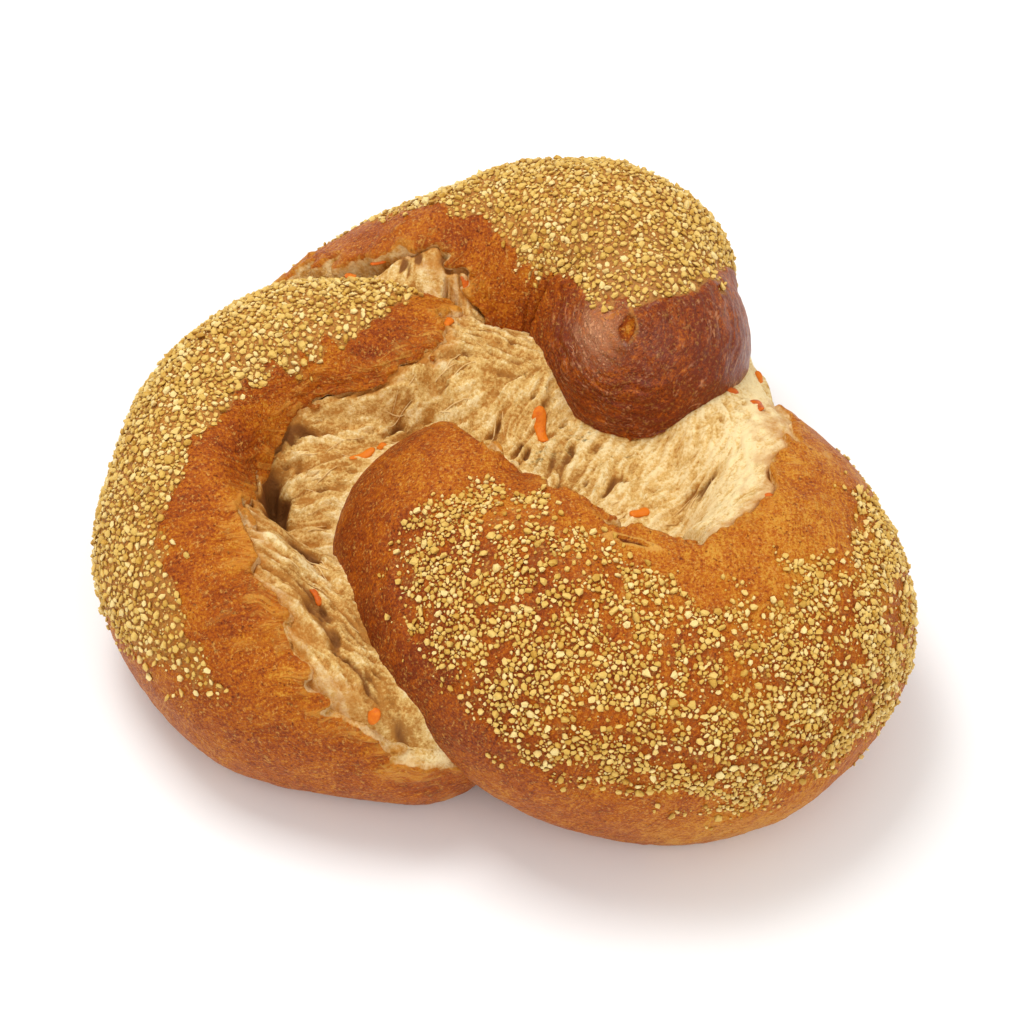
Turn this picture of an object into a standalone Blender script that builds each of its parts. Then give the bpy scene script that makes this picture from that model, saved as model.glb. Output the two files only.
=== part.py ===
"""A knotted loaf of spelt and carrot bread, strewn with coarse maize grits.

Three ropes of dough curl round one centre like a pinwheel: each one's tail lies under the head of
the next. Between them the dough has torn open into pale crumb. The loaf is one solid that stands on
the floor plane z = 0, with +Z up, the front of the loaf towards -Y and its left towards -X. Metres.
"""

import math
from typing import NamedTuple

import bmesh
import bpy
import numpy as np

MM = 0.001


class Station(NamedTuple):
    """One cross-section of a rope, in millimetres.

    x, y, height: the middle of the section. outer, inner: half widths away from and towards the
    loaf's centre. rise, drop: how far the section reaches above and below its middle.
    """

    x: float
    y: float
    height: float
    outer: float
    inner: float
    rise: float
    drop: float


class Edge(NamedTuple):
    """Where the crust stops: a share of the rope's length, and degrees round the section.

    0 degrees points away from the loaf's centre, 90 degrees up, 180 degrees towards the centre.
    """

    share: float
    angle: float


class Strewn(NamedTuple):
    """Where grits lie: a share of the rope's length, and the lowest and highest angle there."""

    share: float
    low: float
    high: float


class Rope(NamedTuple):
    """One rope of the knot, from its head to its tail."""

    stations: tuple
    edges: tuple
    strewn: tuple
    grains: int


LEFT = Rope(
    stations=(
        Station(4, 30, 40, 17, 17, 18, 26),
        Station(-26, 35, 41, 22, 20, 23, 44),
        Station(-49, 32, 38, 26, 20, 27, 48),
        Station(-65, 11, 34, 25, 16, 28, 43),
        Station(-65, -13, 31, 27, 16, 29, 39),
        Station(-50, -34, 28, 25.5, 22, 27, 35),
        Station(-20, -41, 27, 24.5, 24, 25, 34),
    ),
    edges=(
        Edge(0.08, -60),
        Edge(0.12, 95),
        Edge(0.2, 143),
        Edge(0.53, 149),
        Edge(0.67, 126),
        Edge(0.76, 96),
        Edge(0.88, 52),
        Edge(1.03, -6),
    ),
    strewn=(
        Strewn(0.15, 0, 60),
        Strewn(0.22, -38, 110),
        Strewn(0.37, -40, 122),
        Strewn(0.52, -35, 95),
        Strewn(0.64, -12, 74),
        Strewn(0.74, 8, 52),
        Strewn(0.82, 20, 26),
    ),
    grains=50,
)

BACK = Rope(
    stations=(
        Station(31, 37, 51, 26, 24, 26, 27),
        Station(25, 50, 48, 33, 25, 32, 40),
        Station(14, 59, 43.5, 33, 25, 36, 48),
        Station(0, 62, 39, 28, 25, 35, 48),
        Station(-24, 57, 33, 28, 20, 31, 42),
        Station(-46, 48, 27, 23, 18, 22, 34),
        Station(-58, 34, 24, 18, 18, 18, 30),
    ),
    edges=(
        Edge(0.4, 200),
        Edge(0.47, 140),
        Edge(0.54, 108),
        Edge(0.61, 89),
        Edge(0.7, 84),
        Edge(0.78, 55),
        Edge(1, 40),
    ),
    strewn=(
        Strewn(-0.09, 65, 108),
        Strewn(0.02, 35, 130),
        Strewn(0.15, -30, 135),
        Strewn(0.34, -40, 126),
        Strewn(0.44, -40, 97),
        Strewn(0.58, -40, 62),
        Strewn(0.8, -35, 35),
        Strewn(1, -20, 20),
    ),
    grains=46,
)

FRONT = Rope(
    stations=(
        Station(-6, -16, 38, 33, 26.5, 29, 30),
        Station(1.5, -27, 41, 35.5, 29, 30, 38),
        Station(13, -36, 39, 39.5, 28.5, 33, 43),
        Station(27, -41, 37, 38.5, 27, 34.5, 46),
        Station(43, -40, 35, 38, 22.5, 35, 47),
        Station(57, -26, 34, 35, 21, 33.5, 44),
        Station(59, -4, 31, 24.5, 22, 31, 39),
        Station(48, 17, 30, 19, 20, 26, 36),
        Station(42.5, 39.5, 29, 22, 19, 25, 37),
    ),
    edges=(
        Edge(-0.14, 112),
        Edge(0.1, 116),
        Edge(0.31, 118),
        Edge(0.42, 106),
        Edge(0.56, 94),
        Edge(0.67, 90),
        Edge(0.75, 66),
        Edge(0.82, 34),
        Edge(0.9, 4),
        Edge(1, -24),
    ),
    strewn=(
        Strewn(-0.01, 58, 80),
        Strewn(0.05, 34, 97),
        Strewn(0.15, 28, 101),
        Strewn(0.2, 14, 98),
        Strewn(0.27, 3, 86),
        Strewn(0.4, -12, 72),
        Strewn(0.5, -11, 66),
        Strewn(0.64, -5, 47),
        Strewn(0.72, 0, 25),
    ),
    grains=78,
)

ROPES = {"left": LEFT, "back": BACK, "front": FRONT}


class Mound(NamedTuple):
    """The torn crumb between the ropes, in millimetres: strands run out from its middle.

    It dips towards dip_turn degrees, from the share dip_start of its radius to dip_full.
    """

    x: float = -0.5
    y: float = 5
    radius: float = 59
    top: float = 49
    slope: float = 0.04
    shoulder: float = 14
    base: float = -12
    strands: int = 13
    strand_height: float = 1.1
    dip: float = 8
    dip_turn: float = 222
    dip_spread: float = 20
    dip_start: float = 0.4
    dip_full: float = 0.75


class Hollow(NamedTuple):
    """A hollow torn in the crumb: its middle, its radius and its depth, in millimetres."""

    x: float
    y: float
    z: float
    radius: float
    depth: float


class Shred(NamedTuple):
    """A shred of carrot on the surface: plan position and half length in mm, heading in degrees."""

    x: float
    y: float
    half: float
    heading: float


MOUND = Mound()

HOLLOWS = (
    Hollow(-51, -7, 46, 6, 9),
    Hollow(-49, 8, 46, 6, 4),
    Hollow(-46, -27, 50, 7, 3),
    Hollow(-30, 56, 56, 6, 3),
    Hollow(12, 6, 49, 5, 2),
)

SHREDS = (
    Shred(8, 14, 4.6, 100),
    Shred(30, -9, 2.4, 20),
    Shred(57, 15, 2.2, 80),
    Shred(51, 21, 2, 120),
    Shred(-32, 6, 3.4, 30),
    Shred(57, -21, 2.2, 70),
)
SHRED_WIDTH = 1.6 * MM
SHRED_SUNK = 0.4

# Grid of one rope: the rings' spacing on its outer side, rings in each round end, points round it
RING_STEP = 8 * MM
CAP_RINGS = 7
RING_POINTS = 27
FINE_STEPS = 300

# Grid of the mound: rings from the middle out, and points round each
MOUND_RINGS = 20
MOUND_POINTS = 66

# Half the length over which a rope's bend is read, and the widest inner side as a share of its radius
BEND_STEP = 0.5
BEND_SHARE = 0.85

# How far the torn crumb lies below the crust, and over how many degrees it drops
TORN_DEPTH = 1.6 * MM
TORN_BLUR = 8

# Slow waves that keep the ropes from being perfectly round: wave numbers per metre, phase, height
WAVES = (
    ((92, 51, 37), 0.3, 0.35 * MM),
    ((-63, 101, 58), 1.9, 0.35 * MM),
    ((131, -87, 69), 4.1, 0.3 * MM),
    ((77, 140, -104), 2.6, 0.25 * MM),
)

# Coarse grains: half length range, flatness, roughness of the corners, and how deep one sits
GRAIN_SMALL = 1.1 * MM
GRAIN_LARGE = 1.8 * MM
GRAIN_FLAT = 0.75
GRAIN_ROUGH = 0.16
GRAIN_SUNK = 0.3
GRAIN_SPACING = 5 * MM
GRAIN_TRIES = 80
GRAIN_SEED = 7
LOWEST_GRAIN = 12 * MM

FLOOR_BLOCK = 400 * MM
FLOOR_DEPTH = 80 * MM
CRUST_COLOUR = (0.42, 0.17, 0.04, 1)
CRUST_ROUGHNESS = 0.5
SMOOTH_UNDER = math.radians(40)


def spline(rows, where):
    """Cubic spline through rows, read at plan lengths where.

    The path's two columns end with no bend, and the sizes' columns end with no slope.
    """
    p = np.asarray(rows, float)
    at = np.r_[0, np.cumsum(np.hypot(*np.diff(p[:, :2], axis=0).T))]
    gap = np.diff(at)
    count = len(p)
    free = np.zeros((count, count))
    bend = np.zeros((count, p.shape[1]))
    free[0, 0] = free[-1, -1] = 1
    for i in range(1, count - 1):
        free[i, i - 1 : i + 2] = gap[i - 1], 2 * (gap[i - 1] + gap[i]), gap[i]
        bend[i] = 6 * ((p[i + 1] - p[i]) / gap[i] - (p[i] - p[i - 1]) / gap[i - 1])
    level, level_bend = free.copy(), bend.copy()
    level[0, :2] = 2 * gap[0], gap[0]
    level[-1, -2:] = gap[-1], 2 * gap[-1]
    level_bend[0] = 6 * (p[1] - p[0]) / gap[0]
    level_bend[-1] = -6 * (p[-1] - p[-2]) / gap[-1]
    m = np.linalg.solve(free, bend)
    m[:, 2:] = np.linalg.solve(level, level_bend)[:, 2:]
    q = np.clip(where, 0, at[-1])
    j = np.clip(np.searchsorted(at, q, side="right") - 1, 0, count - 2)
    left, right, h = (at[j + 1] - q)[:, None], (q - at[j])[:, None], gap[j][:, None]
    cubic = (m[j] * left**3 + m[j + 1] * right**3) / (6 * h)
    return cubic + (p[j] / h - m[j] * h / 6) * left + (p[j + 1] / h - m[j + 1] * h / 6) * right


def rope_length(stations):
    """Plan length of a rope between its first and last stations, in millimetres."""
    plan = np.asarray(stations, float)[:, :2]
    return float(np.hypot(*np.diff(plan, axis=0).T).sum())


def rope_points(stations, along, size, around):
    """Points of a rope at plan lengths along, its section shrunk by size, at angles around.

    The inner half width stays below the radius of the rope's own bend, so that it never folds.
    """
    length = rope_length(stations)
    near = np.clip(along, BEND_STEP, length - BEND_STEP)
    before, at, after = (spline(stations, near + step)[:, :2] for step in (-BEND_STEP, 0, BEND_STEP))
    tangent = (after - before) / np.linalg.norm(after - before, axis=1)[:, None]
    here = spline(stations, along)
    past = along - np.clip(along, 0, length)
    centre = here[:, :2] + past[:, None] * tangent
    normal = np.stack([-tangent[:, 1], tangent[:, 0]], 1)
    normal *= np.sign(np.sum(normal * centre))
    bend = -np.sum((after - 2 * at + before) * normal, 1) / BEND_STEP**2
    tightest = BEND_SHARE / np.where(past == 0, np.maximum(bend, 1e-6), 1e-6)
    height, outer, inner, rise, drop = (c[:, None] for c in here[:, 2:].T)
    inner = np.minimum(inner, tightest[:, None])
    cos, sin = np.cos(around)[None], np.sin(around)[None]
    across = np.where(cos > 0, outer, inner) * cos * size[:, None]
    z = height + np.where(sin > 0, rise, drop) * sin * size[:, None]
    plan = centre[:, None] + normal[:, None] * across[..., None]
    return wave(np.concatenate([plan, z[..., None]], -1) * MM)


def wave(points):
    """Points pushed in and out by the slow waves, away from the loaf's upright axis."""
    swell = sum(a * np.sin(points @ np.array(k, float) + phase) for k, phase, a in WAVES)
    out = points * (1, 1, 0.6)
    out /= np.linalg.norm(out, axis=-1, keepdims=True) + 1e-9
    return points + out * swell[..., None]


def ring_places(stations):
    """Plan lengths and section sizes of a rope's rings, with a round end at each end.

    The rings between the ends are spaced evenly along the rope's outer side.
    """
    length = rope_length(stations)
    fine = np.linspace(0, length, FINE_STEPS)
    side = rope_points(stations, fine, np.ones(FINE_STEPS), np.zeros(1))[:, 0]
    travelled = np.r_[0, np.cumsum(np.linalg.norm(np.diff(side, axis=0), axis=1))]
    even = np.linspace(0, travelled[-1], round(travelled[-1] / RING_STEP))
    middle = np.interp(even, travelled, fine)
    turn = np.linspace(0, math.pi / 2, CAP_RINGS, endpoint=False)
    past = math.pi / 2 - turn[::-1]
    head, tail = stations[0].outer, stations[-1].outer
    along = np.r_[-head * np.cos(turn), middle, length + tail * np.sin(past)]
    return along, np.r_[np.sin(turn), np.ones(len(middle)), np.cos(past)]


def torn(edges, share, around):
    """1 where the dough is torn open beyond the crust's edge, 0 on the crust, at angles around."""
    edge = np.interp(share, [e.share for e in edges], [e.angle for e in edges])[:, None]
    angle = np.degrees(around)[None]
    angle = np.where(angle > 250, angle - 360, angle)
    rise = np.clip((angle - edge) / TORN_BLUR + 0.5, 0, 1)
    return rise * rise * (3 - 2 * rise)


def hollow_out(points, inward):
    """Points pushed along inward by every hollow near them."""
    moved = points.copy()
    for hollow in HOLLOWS:
        middle = np.array((hollow.x, hollow.y, hollow.z)) * MM
        near = np.sum((points - middle) ** 2, -1) / (hollow.radius * MM) ** 2
        moved += inward * (hollow.depth * MM * np.exp(-near))[..., None]
    return moved


def solid_from_rings(name, rings):
    """A closed mesh object over rings of points, whose first and last rings shrink to a point."""
    bm = bmesh.new()
    first = bm.verts.new(rings[0].mean(0))
    last = bm.verts.new(rings[-1].mean(0))
    loops = [[bm.verts.new(p) for p in ring] for ring in rings[1:-1]]
    count = len(loops[0])
    for k in range(count):
        n = (k + 1) % count
        bm.faces.new((first, loops[0][k], loops[0][n]))
        bm.faces.new((last, loops[-1][n], loops[-1][k]))
        for a, b in zip(loops, loops[1:], strict=False):
            bm.faces.new((a[k], b[k], b[n], a[n]))
    bmesh.ops.recalc_face_normals(bm, faces=bm.faces)
    bmesh.ops.triangulate(bm, faces=bm.faces)
    mesh = bpy.data.meshes.new(name)
    bm.to_mesh(mesh)
    bm.free()
    obj = bpy.data.objects.new(name, mesh)
    bpy.context.scene.collection.objects.link(obj)
    return obj


def build_rope(name, rope):
    """One rope of dough, its torn side sunk below the crust, reaching a little below the floor."""
    along, size = ring_places(rope.stations)
    around = np.linspace(0, 2 * math.pi, RING_POINTS, endpoint=False)
    points = rope_points(rope.stations, along, size, around)
    inward = points.mean(1, keepdims=True) - points
    inward /= np.linalg.norm(inward, axis=-1, keepdims=True) + 1e-9
    sunk = TORN_DEPTH * torn(rope.edges, along / rope_length(rope.stations), around) * size[:, None]
    return solid_from_rings(name, hollow_out(points + inward * sunk[..., None], inward))


def mound_height(share, turn):
    """Height of the crumb at a share of the mound's radius and a direction, in millimetres.

    It is nearly level, with strands that swell half way out, and falls at the rim and in the dip.
    """
    level = MOUND.top + MOUND.slope * MOUND.radius * share * np.cos(turn)
    strand = np.sin(MOUND.strands * turn + 2 * np.sin(2 * turn) + 3 * share)
    swell = MOUND.strand_height * 4 * share * (1 - share)
    way = (turn - math.radians(MOUND.dip_turn) + math.pi) % (2 * math.pi) - math.pi
    sunk = np.clip((share - MOUND.dip_start) / (MOUND.dip_full - MOUND.dip_start), 0, 1) ** 2
    dip = MOUND.dip * sunk * np.exp(-((way / math.radians(MOUND.dip_spread)) ** 2))
    return level + swell * strand - MOUND.shoulder * share**10 - dip


def build_mound(name):
    """The crumb that fills the middle of the knot: a low mound with a flat underside."""
    share = np.linspace(0, 1, MOUND_RINGS)[:, None]
    turn = np.linspace(0, 2 * math.pi, MOUND_POINTS, endpoint=False)[None]
    base = np.full((2, MOUND_POINTS), MOUND.base)
    z = np.concatenate([mound_height(share, turn), base])
    reach = np.concatenate([share, [[1], [0]]]) * MOUND.radius
    x = MOUND.x + reach * np.cos(turn)
    y = MOUND.y + reach * np.sin(turn)
    points = np.stack([x, y, z], -1) * MM
    points[:MOUND_RINGS] = hollow_out(points[:MOUND_RINGS], np.array((0.0, 0.0, -1.0)))
    return solid_from_rings(name, points)


def set_points(obj, points):
    """Gives the object's mesh new vertex positions."""
    obj.data.vertices.foreach_set("co", np.asarray(points, np.float32).ravel())


def lump(name, place, frame, rng):
    """A twenty-sided lump at place, stretched along the three columns of frame, its corners rough."""
    bpy.ops.mesh.primitive_ico_sphere_add(subdivisions=1, radius=1)
    obj = bpy.context.object
    obj.name = name
    corners = np.array([v.co for v in obj.data.vertices])
    corners *= 1 + GRAIN_ROUGH * rng.uniform(-1, 1, (len(corners), 1))
    set_points(obj, corners @ frame.T + place)
    return obj


def surface_frame(normal, heading):
    """Three directions as columns: along the surface towards heading, across it, and out of it."""
    up = np.asarray(normal, float)
    up /= np.linalg.norm(up)
    ahead = np.array((math.cos(heading), math.sin(heading), 0.3))
    ahead -= up * (ahead @ up)
    ahead /= np.linalg.norm(ahead)
    return np.stack([ahead, np.cross(up, ahead), up], 1)


def grain(name, place, normal, half, rng):
    """One coarse grain of maize, partly sunk in the crust."""
    frame = surface_frame(normal, rng.uniform(0, math.tau))
    widths = np.array((1, rng.uniform(0.7, 1), GRAIN_FLAT)) * half
    return lump(name, place - frame[:, 2] * widths[2] * GRAIN_SUNK, frame * widths, rng)


def shred_lump(name, row, loaf, rng):
    """A shred of carrot lying on the torn crumb, partly sunk in it."""
    _, place, normal, _ = loaf.ray_cast((row.x * MM, row.y * MM, 1), (0, 0, -1))
    frame = surface_frame(normal, math.radians(row.heading))
    place = np.array(place) - frame[:, 2] * SHRED_WIDTH * SHRED_SUNK
    return lump(name, place, frame * (row.half * MM, SHRED_WIDTH, SHRED_WIDTH), rng)


def buried(place, others, margin):
    """Whether place lies inside one of the other solids, or within margin of it."""
    for obj in others:
        _, near, normal, _ = obj.closest_point_on_mesh(place)
        if (np.array(place) - np.array(near)) @ np.array(normal) < margin:
            return True
    return False


def grain_places(rope, skin, others, rng):
    """Places on skin, outward directions and half lengths of a rope's grains, by dart throwing.

    A dart outside the strewn zone, inside another solid, low down, or too near a grain is dropped.
    """
    length = rope_length(rope.stations)
    shares = [z.share for z in rope.strewn]
    lows, highs = [z.low for z in rope.strewn], [z.high for z in rope.strewn]
    found = []
    for _ in range(rope.grains * GRAIN_TRIES):
        if len(found) == rope.grains:
            break
        share = rng.uniform(shares[0], shares[-1])
        angle = rng.uniform(min(lows), max(highs))
        half = GRAIN_SMALL + (GRAIN_LARGE - GRAIN_SMALL) * rng.random() ** 2
        if not np.interp(share, shares, lows) < angle < np.interp(share, shares, highs):
            continue
        _, place, normal, _ = skin.closest_point_on_mesh(surface_at(rope.stations, share * length, angle))
        place = np.array(place)
        if place[2] < LOWEST_GRAIN or buried(place, others, 2 * half):
            continue
        if any(np.linalg.norm(place - other) < GRAIN_SPACING for other, _, _ in found):
            continue
        found.append((place, normal, half))
    return found


def surface_at(stations, along, angle):
    """A point of a rope's surface, at a plan length and an angle in degrees."""
    past = min(along, 0) / stations[0].outer
    size = np.array([math.sqrt(1 - past**2)])
    return rope_points(stations, np.array([along]), size, np.radians([angle]))[0, 0]


def join(target, pieces, operation):
    """Unites target with pieces, or cuts them from it, in one applied Boolean, and removes them."""
    group = bpy.data.collections.new("pieces")
    bpy.context.scene.collection.children.link(group)
    for piece in pieces:
        group.objects.link(piece)
    boolean = target.modifiers.new("join", "BOOLEAN")
    boolean.operation = operation
    boolean.operand_type = "COLLECTION"
    boolean.collection = group
    bpy.context.view_layer.objects.active = target
    bpy.ops.object.modifier_apply(modifier=boolean.name)
    for piece in pieces:
        bpy.data.objects.remove(piece)
    bpy.data.collections.remove(group)


def floor_block():
    """The block under the floor plane, which gives the loaf its flat base."""
    bpy.ops.mesh.primitive_cube_add(size=1)
    block = bpy.context.object
    corners = np.array([v.co for v in block.data.vertices]) - (0, 0, 0.5)
    set_points(block, corners * (FLOOR_BLOCK, FLOOR_BLOCK, FLOOR_DEPTH))
    return block


def centre_on_origin(obj):
    """Moves the mesh so that the middle of its box lies over the origin."""
    points = np.array([v.co for v in obj.data.vertices])
    middle = (points.min(0) + points.max(0)) / 2
    set_points(obj, points - (middle[0], middle[1], 0))


def crust_material():
    """Golden brown baked crust."""
    material = bpy.data.materials.new("crust")
    material.use_nodes = True
    shader = material.node_tree.nodes["Principled BSDF"]
    shader.inputs["Base Color"].default_value = CRUST_COLOUR
    shader.inputs["Roughness"].default_value = CRUST_ROUGHNESS
    shader.inputs["Metallic"].default_value = 0
    return material


def main():
    """Builds the loaf as one object named loaf."""
    for obj in list(bpy.data.objects):
        bpy.data.objects.remove(obj)
    rng = np.random.default_rng(GRAIN_SEED)
    ropes = {name: build_rope(name, rope) for name, rope in ROPES.items()}
    mound = build_mound("mound")
    places = []
    for name, rope in ROPES.items():
        others = [obj for other, obj in ropes.items() if other != name]
        places += grain_places(rope, ropes[name], [*others, mound], rng)
    loaf = ropes.pop("left")
    join(loaf, [*ropes.values(), mound], "UNION")
    join(loaf, [floor_block()], "DIFFERENCE")
    places.sort(key=lambda found: -found[2])
    pieces = [grain(f"grain_{i}", *found, rng) for i, found in enumerate(places)]
    pieces += [shred_lump(f"shred_{i}", row, loaf, rng) for i, row in enumerate(SHREDS)]
    join(loaf, pieces, "UNION")
    centre_on_origin(loaf)
    loaf.name = loaf.data.name = "loaf"
    loaf.data.materials.clear()
    loaf.data.materials.append(crust_material())
    loaf.data.shade_smooth()
    loaf.data.set_sharp_from_angle(angle=SMOOTH_UNDER)


main()
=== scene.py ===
"""A knotted loaf of spelt and carrot bread, strewn with coarse maize grits, as it comes from the oven.

Three ropes of dough curl round one centre, and the dough between them has torn open into pale crumb.
Each rope, the torn crumb, the grits and the carrot shreds are pieces of their own, worked out in
millimetres where the loaf was laid out and moved onto the solid loaf at the end. +Z is up and the
front of the loaf lies towards -Y.
"""

import logging
import math
from dataclasses import dataclass, field
from enum import Enum
from itertools import combinations
from typing import NamedTuple

import bpy
import numpy as np
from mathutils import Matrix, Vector
from mathutils.kdtree import KDTree


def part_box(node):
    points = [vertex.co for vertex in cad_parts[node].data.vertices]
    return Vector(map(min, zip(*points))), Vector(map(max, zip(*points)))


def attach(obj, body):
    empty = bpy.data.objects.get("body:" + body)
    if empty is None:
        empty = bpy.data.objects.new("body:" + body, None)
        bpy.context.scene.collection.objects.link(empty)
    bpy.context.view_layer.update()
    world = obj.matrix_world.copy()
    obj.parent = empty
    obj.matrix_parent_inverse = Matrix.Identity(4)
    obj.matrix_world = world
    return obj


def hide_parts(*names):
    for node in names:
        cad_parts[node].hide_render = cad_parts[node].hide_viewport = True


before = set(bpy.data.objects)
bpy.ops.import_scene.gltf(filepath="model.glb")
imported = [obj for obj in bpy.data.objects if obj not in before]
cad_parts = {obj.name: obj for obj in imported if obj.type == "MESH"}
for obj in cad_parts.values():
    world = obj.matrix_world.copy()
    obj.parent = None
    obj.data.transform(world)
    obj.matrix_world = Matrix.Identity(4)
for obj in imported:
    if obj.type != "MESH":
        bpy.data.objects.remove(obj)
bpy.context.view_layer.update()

LOG = logging.getLogger("loaf")
MM = 0.001
NODE = "loaf"
BODY = "root"

# Where the middle of the loaf's box lies in the plan that the ropes are laid out in, in millimetres
LAID_OUT_MIDDLE = (-0.691, 5.731)


class Slot(Enum):
    """The material slots' names."""

    CRUST = "crust"
    CRUMB = "crumb"
    GRITS = "grits"
    CARROT = "carrot"


class Station(NamedTuple):
    """One cross-section of a rope, in millimetres.

    x, y, height: the middle of the section. outer, inner: half widths away from and towards the
    loaf's centre. rise, drop: how far the section reaches above and below its middle.
    """

    x: float
    y: float
    height: float
    outer: float
    inner: float
    rise: float
    drop: float


class Edge(NamedTuple):
    """Where the crust stops: a share of the rope's length, and degrees round the section.

    0 degrees points away from the loaf's centre, 90 degrees up, 180 degrees towards the centre.
    """

    share: float
    angle: float


class Strewn(NamedTuple):
    """Where grits lie at a share of the rope's length: lowest and highest angle, and how thickly."""

    share: float
    low: float
    high: float
    thick: float


class Baked(NamedTuple):
    """How dark the crust is, 0 pale gold to 1 deep brown, near a place on a rope."""

    share: float
    angle: float
    dark: float


class Slit(NamedTuple):
    """A short tear in the crust: its place on the rope, its half length and width, its heading."""

    share: float
    angle: float
    long: float
    wide: float
    heading: float


class Pull(NamedTuple):
    """Which way the torn fibres run at a place in plan: millimetres, and degrees from +X."""

    x: float
    y: float
    heading: float


class Hollow(NamedTuple):
    """A hollow torn in the crumb: place in plan, half length, half width, heading and depth."""

    x: float
    y: float
    long: float
    wide: float
    heading: float
    depth: float


class Shred(NamedTuple):
    """A shred of carrot on the crumb: plan position, half length, width, heading in degrees."""

    x: float
    y: float
    half: float
    width: float
    heading: float

    def moved(self, share: np.ndarray, aside: np.ndarray) -> tuple[np.ndarray, np.ndarray]:
        """X and Y at a share of the half length along the shred, and aside from its line."""
        turn = math.radians(self.heading)
        x = self.x + self.half * share * math.cos(turn) - aside * math.sin(turn)
        return x, self.y + self.half * share * math.sin(turn) + aside * math.cos(turn)


class PaintedHighlight(NamedTuple):
    """A painted highlight on the crust: its middle and its reach, in millimetres; it lightens the
    crust's colour, not its gloss.
    """

    x: float
    y: float
    z: float
    reach: float


def rows(kind: type, *values: tuple) -> tuple:
    """Rows of one kind, each made of its values in order."""
    return tuple(kind(*row) for row in values)


def hashed(cell: np.ndarray, seed: int) -> np.ndarray:
    """Scrambles the digits of each whole-number cell into a number from -1 to 1.

    Args:
        cell: whole numbers, three to a row.
        seed: picks one of many scramblings.

    Returns:
        One number for each row.
    """
    x, y, z = (cell[..., axis].astype(np.uint32) for axis in range(3))
    mixed = x * np.uint32(374761393) + y * np.uint32(668265263) + z * np.uint32(2246822519)
    mixed += np.uint32(seed * 3266489917 % 2**32)
    mixed = (mixed ^ (mixed >> np.uint32(15))) * np.uint32(2246822519)
    mixed = (mixed ^ (mixed >> np.uint32(13))) * np.uint32(3266489917)
    mixed ^= mixed >> np.uint32(16)
    return mixed / 2147483647.5 - 1


def lumps(points: np.ndarray, size: float, seed: int) -> np.ndarray:
    """Smooth noise: a random number at each corner of a lattice, eased between the corners.

    Args:
        points: places, three numbers to a row.
        size: the lattice's step, in the points' unit.
        seed: picks the random numbers.

    Returns:
        One number for each place, about -1 to 1.
    """
    scaled = points / size
    cell = np.floor(scaled).astype(np.int64)
    ease = scaled - cell
    ease = ease**3 * (ease * (ease * 6 - 15) + 10)
    total = np.zeros(points.shape[:-1])
    for corner in np.ndindex(2, 2, 2):
        share = np.prod(np.where(corner, ease, 1 - ease), axis=-1)
        total += share * hashed(cell + np.array(corner), seed)
    return total * 1.5


def smooth(value: np.ndarray, low: float, high: float) -> np.ndarray:
    """0 below low and 1 above high, with an S-shaped rise between them."""
    share = np.clip((value - low) / (high - low), 0, 1)
    return share * share * (3 - 2 * share)


def hump(value: np.ndarray, middle: float, width: float) -> np.ndarray:
    """1 at middle and next to 0 two widths away: the exponential of minus the distance squared."""
    return np.exp(-(((value - middle) / width) ** 2))


def unit(vectors: np.ndarray, least: float = 0) -> np.ndarray:
    """The vectors at length 1; least is added to their lengths where one may be nothing."""
    return vectors / (np.linalg.norm(vectors, axis=-1, keepdims=True) + least)


def along_aside(x: np.ndarray, y: np.ndarray, heading: float) -> tuple[np.ndarray, np.ndarray]:
    """How far x and y go along a heading in degrees, and to the left of it."""
    turn = math.radians(heading)
    return x * math.cos(turn) + y * math.sin(turn), y * math.cos(turn) - x * math.sin(turn)


def blur(layer: np.ndarray, reach: int) -> np.ndarray:
    """The mean of each cell's square neighbourhood, reach cells either way."""
    out = layer
    for axis in (0, 1):
        padded = np.pad(out, [(reach + 1, reach) if a == axis else (0, 0) for a in (0, 1)], "edge")
        total = np.cumsum(padded, axis=axis)
        width = 2 * reach + 1
        high = np.take(total, np.arange(width, total.shape[axis]), axis)
        low = np.take(total, np.arange(0, total.shape[axis] - width), axis)
        out = (high - low) / width
    return out


def spline(rows: tuple, where: np.ndarray) -> np.ndarray:
    """Cubic spline through rows, read at plan lengths where.

    The path's two columns end with no bend, and the sizes' columns end with no slope.

    Args:
        rows: stations in order.
        where: plan lengths from the first one, in millimetres.

    Returns:
        A row of the stations' values for each length.
    """
    p = np.asarray(rows, float)
    at = np.r_[0, np.cumsum(np.hypot(*np.diff(p[:, :2], axis=0).T))]
    gap = np.diff(at)
    count = len(p)
    free = np.zeros((count, count))
    bend = np.zeros((count, p.shape[1]))
    free[0, 0] = free[-1, -1] = 1
    for i in range(1, count - 1):
        free[i, i - 1 : i + 2] = gap[i - 1], 2 * (gap[i - 1] + gap[i]), gap[i]
        bend[i] = 6 * ((p[i + 1] - p[i]) / gap[i] - (p[i] - p[i - 1]) / gap[i - 1])
    level, level_bend = free.copy(), bend.copy()
    level[0, :2] = 2 * gap[0], gap[0]
    level[-1, -2:] = gap[-1], 2 * gap[-1]
    level_bend[0] = 6 * (p[1] - p[0]) / gap[0]
    level_bend[-1] = -6 * (p[-1] - p[-2]) / gap[-1]
    m = np.linalg.solve(free, bend)
    m[:, 2:] = np.linalg.solve(level, level_bend)[:, 2:]
    q = np.clip(where, 0, at[-1])
    j = np.clip(np.searchsorted(at, q, side="right") - 1, 0, count - 2)
    left, right, h = (at[j + 1] - q)[:, None], (q - at[j])[:, None], gap[j][:, None]
    cubic = (m[j] * left**3 + m[j + 1] * right**3) / (6 * h)
    return cubic + (p[j] / h - m[j] * h / 6) * left + (p[j + 1] / h - m[j + 1] * h / 6) * right


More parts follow.
